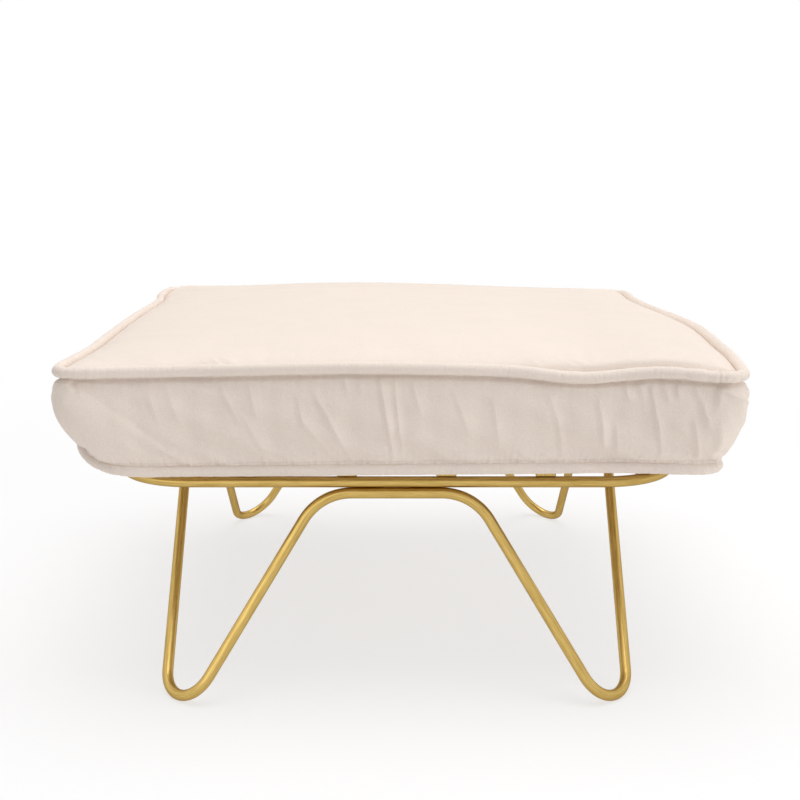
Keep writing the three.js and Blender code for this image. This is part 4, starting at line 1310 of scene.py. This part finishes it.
cover_solids = [
    "cover_top_panel", "cover_bottom_panel", "side_band", "zip_band_upper", "zip_band_lower"
]
cover = add_piece(
    "velvet_cover", *closed_box(inside_rim(top_panel), boxing, inside_rim(bottom_panel)),
    "cushion", "velvet", velvet, cover_solids
)

# %% [markdown]
# ## Piping
#
# Piping is a bias strip of the velvet sewn round a cord and caught in the seam. A circle swept along
# the seam would look like a hose. Cloth on the bias gathers round the cord instead: short creases
# run across it, a few millimetres apart, and they crowd and deepen at the corners where the strip
# has to turn. The radius is a function of the run and the angle, with narrow grooves at a wandering
# spacing.

# %% Piping
PIPING_RADIUS, PIPING_PITCH, PIPING_SIDES = 5, 1.0, 18
CORD_RADIUS, CORD_PITCH, CORD_SIDES = 3.2, 6, 10
# The grooves' spacing, and how far from a corner they are wide and deep.
PUCKER_SPACING, CORNER_GATHER = 5.2, 42
# How far grooves stray, in spacings, how far they slant round the piping, and in which direction.
STRAY, STRAY_WAVES = 0.9, (21, 37, 63)
SLANT, SLANT_WAVES, SLANT_ANGLE = 0.25, (15, 40), 0.6
# Their depth in patches, as a share: the mean, how far it goes up and down, and the most.
PATCH_MEAN, PATCH_SWING, PATCH_MOST, PATCH_WAVES = 0.6, 0.4, 1.4, (9, 26, 47)
# The power that narrows a groove on the straight, and how much less it is at a corner.
NARROW_POWER, CORNER_POWER_LOSS = 3, 2.2
# How far the radius itself swells and shrinks along the run, in mm.
SWELL, SWELL_WAVES = 0.07, (17, 29)


def even_run(loop, pitch):
    """A closed loop of points at an even pitch: where along its length, the points, the total."""
    dense = loop
    while len(dense) < 2 * FINE_AROUND:
        dense = doubled(dense, 0, closed=True)
    shut = np.vstack([dense, dense[:1]])
    length = np.concatenate([[0], np.cumsum(np.linalg.norm(np.diff(shut, axis=0), axis=1))])
    count = int(round(length[-1] / pitch))
    place = np.arange(count) * length[-1] / count
    points = np.stack([np.interp(place, length, shut[:, k]) for k in range(3)], axis=1)
    return place, points, float(length[-1])


def loop_frame(points):
    """The run, the level way out, and the third direction at each point of a closed loop."""
    tangents = unit(np.roll(points, -1, axis=0) - np.roll(points, 1, axis=0))
    out = outward(points)
    return tangents, out, np.cross(out, tangents)


def closed_loop_tube(points, radii, high=1.0):
    """A tube on a closed loop: out times cosine and up times sine of the angle, by the radius."""
    _, out, up = loop_frame(points)
    count = radii.shape[1]
    angles = np.linspace(0, 2 * np.pi, count, endpoint=False)
    across = out[:, None] * np.cos(angles)[:, None] - up[:, None] * np.sin(angles)[:, None] * high
    rings = points[:, None] + across * radii[..., None]
    quads = grid_faces(len(points), count, rows_close=True, columns_close=True)
    return rings.reshape(-1, 3), quads, np.empty((0, 3), int)


def pucker_radii(place, total, generator, depth, corner_depth):
    """The piping's radius, less a groove wherever |sin| of the run over the spacing nears zero.

    Waves and the angle shift the grooves a little, and other waves make them deep in patches. One
    less |sin| is taken to a power, high on the straight and low near a corner, so that a groove is
    narrow on the straight and wide there.
    """
    angles = np.linspace(0, 2 * np.pi, PIPING_SIDES, endpoint=False)
    stray = STRAY * loop_waves(place, total, STRAY_WAVES, generator)
    slant = SLANT * loop_waves(place, total, SLANT_WAVES, generator)
    whole = round(total / PUCKER_SPACING)
    turned_way = np.cos(angles + SLANT_ANGLE)
    phase = place[:, None] / total * whole + stray[:, None] + slant[:, None] * turned_way
    patchy = PATCH_MEAN + PATCH_SWING * loop_waves(place, total, PATCH_WAVES, generator)
    to_corner = np.abs((place * 4 / total + 0.5) % 1 - 0.5) * total / 4
    cornering = bell(to_corner, CORNER_GATHER)
    deep = (depth + (corner_depth - depth) * cornering) * np.clip(patchy, 0, PATCH_MOST)
    power = NARROW_POWER - CORNER_POWER_LOSS * cornering
    groove = (1 - np.abs(np.sin(np.pi * phase))) ** power[:, None]
    swell = SWELL * loop_waves(place, total, SWELL_WAVES, generator)
    return PIPING_RADIUS + swell[:, None] - deep[:, None] * groove


def piping(name, seam, seed, high, depth, corner_depth):
    """The welt, a little higher than wide, with its grooves' depths, and the cord inside it."""
    place, points, total = even_run(seam, PIPING_PITCH)
    radii = pucker_radii(place, total, np.random.default_rng(seed), depth, corner_depth)
    tube = closed_loop_tube(points, radii, high)
    piece = add_piece(f"{name}_welt", *tube, "cushion", "velvet", velvet, [f"{name}_piping"])
    _, coarse, _ = even_run(seam, CORD_PITCH)
    cord = closed_loop_tube(coarse, np.full((len(coarse), CORD_SIDES), CORD_RADIUS))
    add_piece(f"{name}_welt_cord", *cord, "cushion", "cord_cotton", cotton, [f"{name}_piping_cord"])


piping("top", top_seam, 5, 1.06, 0.5, 1.2)
piping("bottom", bottom_seam, 6, 1.05, 0.4, 0.9)

# %% [markdown]
# ## Stitches and zip teeth
#
# Both are one small rounded bar repeated hundreds of times, so the bar is worked out once as a grid
# of a few points and then carried to every place at once by adding arrays.

# %% Rows of small bars
STITCH_PITCH, STITCH_LENGTH, STITCH_RADIUS = 3.2, 2.5, 0.34
SMALL_RINGS, SMALL_SIDES = 6, 5
# How far a bar arches out in its middle, in mm, and the share of its radius that its ends keep.
ARCH, END_SHARE = 0.15, 0.15


def bars(places, lengthways, outwards, length, radius):
    """Points and faces of rounded bars: each a tube of a few rings whose radius ends near zero."""
    share = np.linspace(0, 1, SMALL_RINGS)
    swell = np.maximum(np.sqrt(np.sin(np.pi * share)), END_SHARE) * radius
    angles = np.linspace(0, 2 * np.pi, SMALL_SIDES, endpoint=False)
    sideways = np.cross(lengthways, outwards)
    ahead = (share - 0.5)[:, None] * length + np.zeros(SMALL_SIDES)
    out = ARCH * np.sin(np.pi * share)[:, None] + swell[:, None] * np.sin(angles)
    side = swell[:, None] * np.cos(angles)
    parts = zip((ahead, out, side), (lengthways, outwards, sideways))
    rings = places[:, None, None] + sum(shape[..., None] * way[:, None, None] for shape, way in parts)
    points, quads, fans = closed_tube(rings[0])
    count = len(points)
    middles = rings[:, [0, -1]].mean(axis=2)
    everything = np.concatenate([rings.reshape(len(places), -1, 3), middles], axis=1)
    shift = count * np.arange(len(places))[:, None, None]
    return everything.reshape(-1, 3), (quads + shift).reshape(-1, 4), (fans + shift).reshape(-1, 3)


stitch_row = int(np.argmin(np.abs(fine_down - STITCH_SHARE)))
_, stitch_points, _ = even_run(boxing[stitch_row], STITCH_PITCH)
stitch_run, stitch_out, _ = loop_frame(stitch_points)
stitches = bars(stitch_points, stitch_run, stitch_out, STITCH_LENGTH, STITCH_RADIUS)
add_piece("lower_stitches", *stitches, "cushion", "velvet", thread)

# %% [markdown]
# ## The zip
#
# The tapes, the end stops, the slider and its pull keep the shape they were built with. The coil is a
# nylon thread wound so that its loops hook into each other: seen from outside it is a row of small
# bars, alternately from the upper and the lower tape.

# %% Zip finishes and teeth
TOOTH_PITCH, TOOTH_LENGTH, TOOTH_RADIUS, TOOTH_OFFSET = 1.6, 3.1, 0.6, 0.9
COIL_BACK, COIL_HALF = 282.6, 155.6

# Woven tape is matt, the coil has nylon's soft shine, and nickel plating is bright and smooth.
tape = grained_finish("woven_polyester_tape", "#DFCFC2", "#E9DACE", 0.6, 0.2, 0.85)
nylon = grained_finish("dyed_nylon_coil", "#D9C9BB", "#E2D3C6", 0.8, 0.05, 0.4)
nickel = grained_finish("nickel_plated_zinc", "#B4B0A8", "#C6C2BA", 3.0, 0.02, 0.3, metallic=1.0)

for solid in ("zip_tape_upper", "zip_tape_lower"):
    SOLIDS[solid].material_slots[0].material = tape
for solid in ("zip_stop_left", "zip_stop_right", "zip_slider", "zip_pull"):
    SOLIDS[solid].material_slots[0].material = nickel

tooth_x = np.arange(-COIL_HALF, COIL_HALF, TOOTH_PITCH / 2)
tooth_side = np.where(np.arange(len(tooth_x)) % 2 == 0, 1.0, -1.0)
tooth_places = np.stack([
    tooth_x,
    np.full_like(tooth_x, COIL_BACK),
    ZIP_LEVEL + tooth_side * TOOTH_OFFSET,
], axis=1)
tooth_ups = np.tile([0.0, 0.0, 1.0], (len(tooth_x), 1))
tooth_outs = np.tile([0.0, 1.0, 0.0], (len(tooth_x), 1))
teeth = bars(tooth_places, tooth_ups, tooth_outs, TOOTH_LENGTH, TOOTH_RADIUS)
add_piece("zip_teeth", *teeth, "cushion", "zip_nylon", nylon, ["zip_coil"])

# %% [markdown]
# ## Inside the cover
#
# The foam block follows the cover at a distance, and a sheet of fibre lies on it to soften the crown.
# Both are the cover's own grids, thinned out and drawn in.

# %% Foam and fibre
THIN = 4
FOAM_INSET = 14
FIBRE_THICKNESS, FIBRE_GAP = 8, 1.5
# How far the foam stays over the bottom panel, and under the top one, with the fibre sheet between.
FOAM_UNDER, FOAM_SPARE = 5, 2
FOAM_OVER = FIBRE_THICKNESS + 2 * FIBRE_GAP + FOAM_SPARE
draw_in = np.array([1 - FOAM_INSET / TOP_HALF, 1 - FOAM_INSET / TOP_HALF, 1])


def foam_face(grid):
    """The grid moved in on plan, its heights squeezed between the foam's two clearances."""
    share = (grid[..., 2] - UNDERSIDE_LEVEL) / (TOP_LEVEL + CROWN - UNDERSIDE_LEVEL)
    drawn = grid * draw_in
    drawn[..., 2] = grid[..., 2] + FOAM_UNDER * (1 - share) - FOAM_OVER * share
    return drawn


thin_top, thin_bottom = top_panel[::THIN, ::THIN], bottom_panel[::THIN, ::THIN]
thin_band = boxing[:: FINE_ROWS // 2, :: THIN * 2 ** (RUN_DOUBLINGS - 1)]
foam_grids = [inside_rim(foam_face(thin_top)), foam_face(thin_band), inside_rim(foam_face(thin_bottom))]
foam_piece = add_piece("foam_block", *closed_box(*foam_grids), "cushion", "foam", foam, ["foam_core"])

upper = thin_top * draw_in - [0, 0, FIBRE_GAP]
lower = upper - [0, 0, FIBRE_THICKNESS]
fibre_edge = np.stack([panel.reshape(-1, 3)[rim_numbers(len(upper))] for panel in (upper, lower)])
fibre_piece = add_piece(
    "fibre_sheet", *closed_box(inside_rim(upper), fibre_edge, inside_rim(lower)),
    "cushion", "fibre", fibre, ["top_wadding"]
)
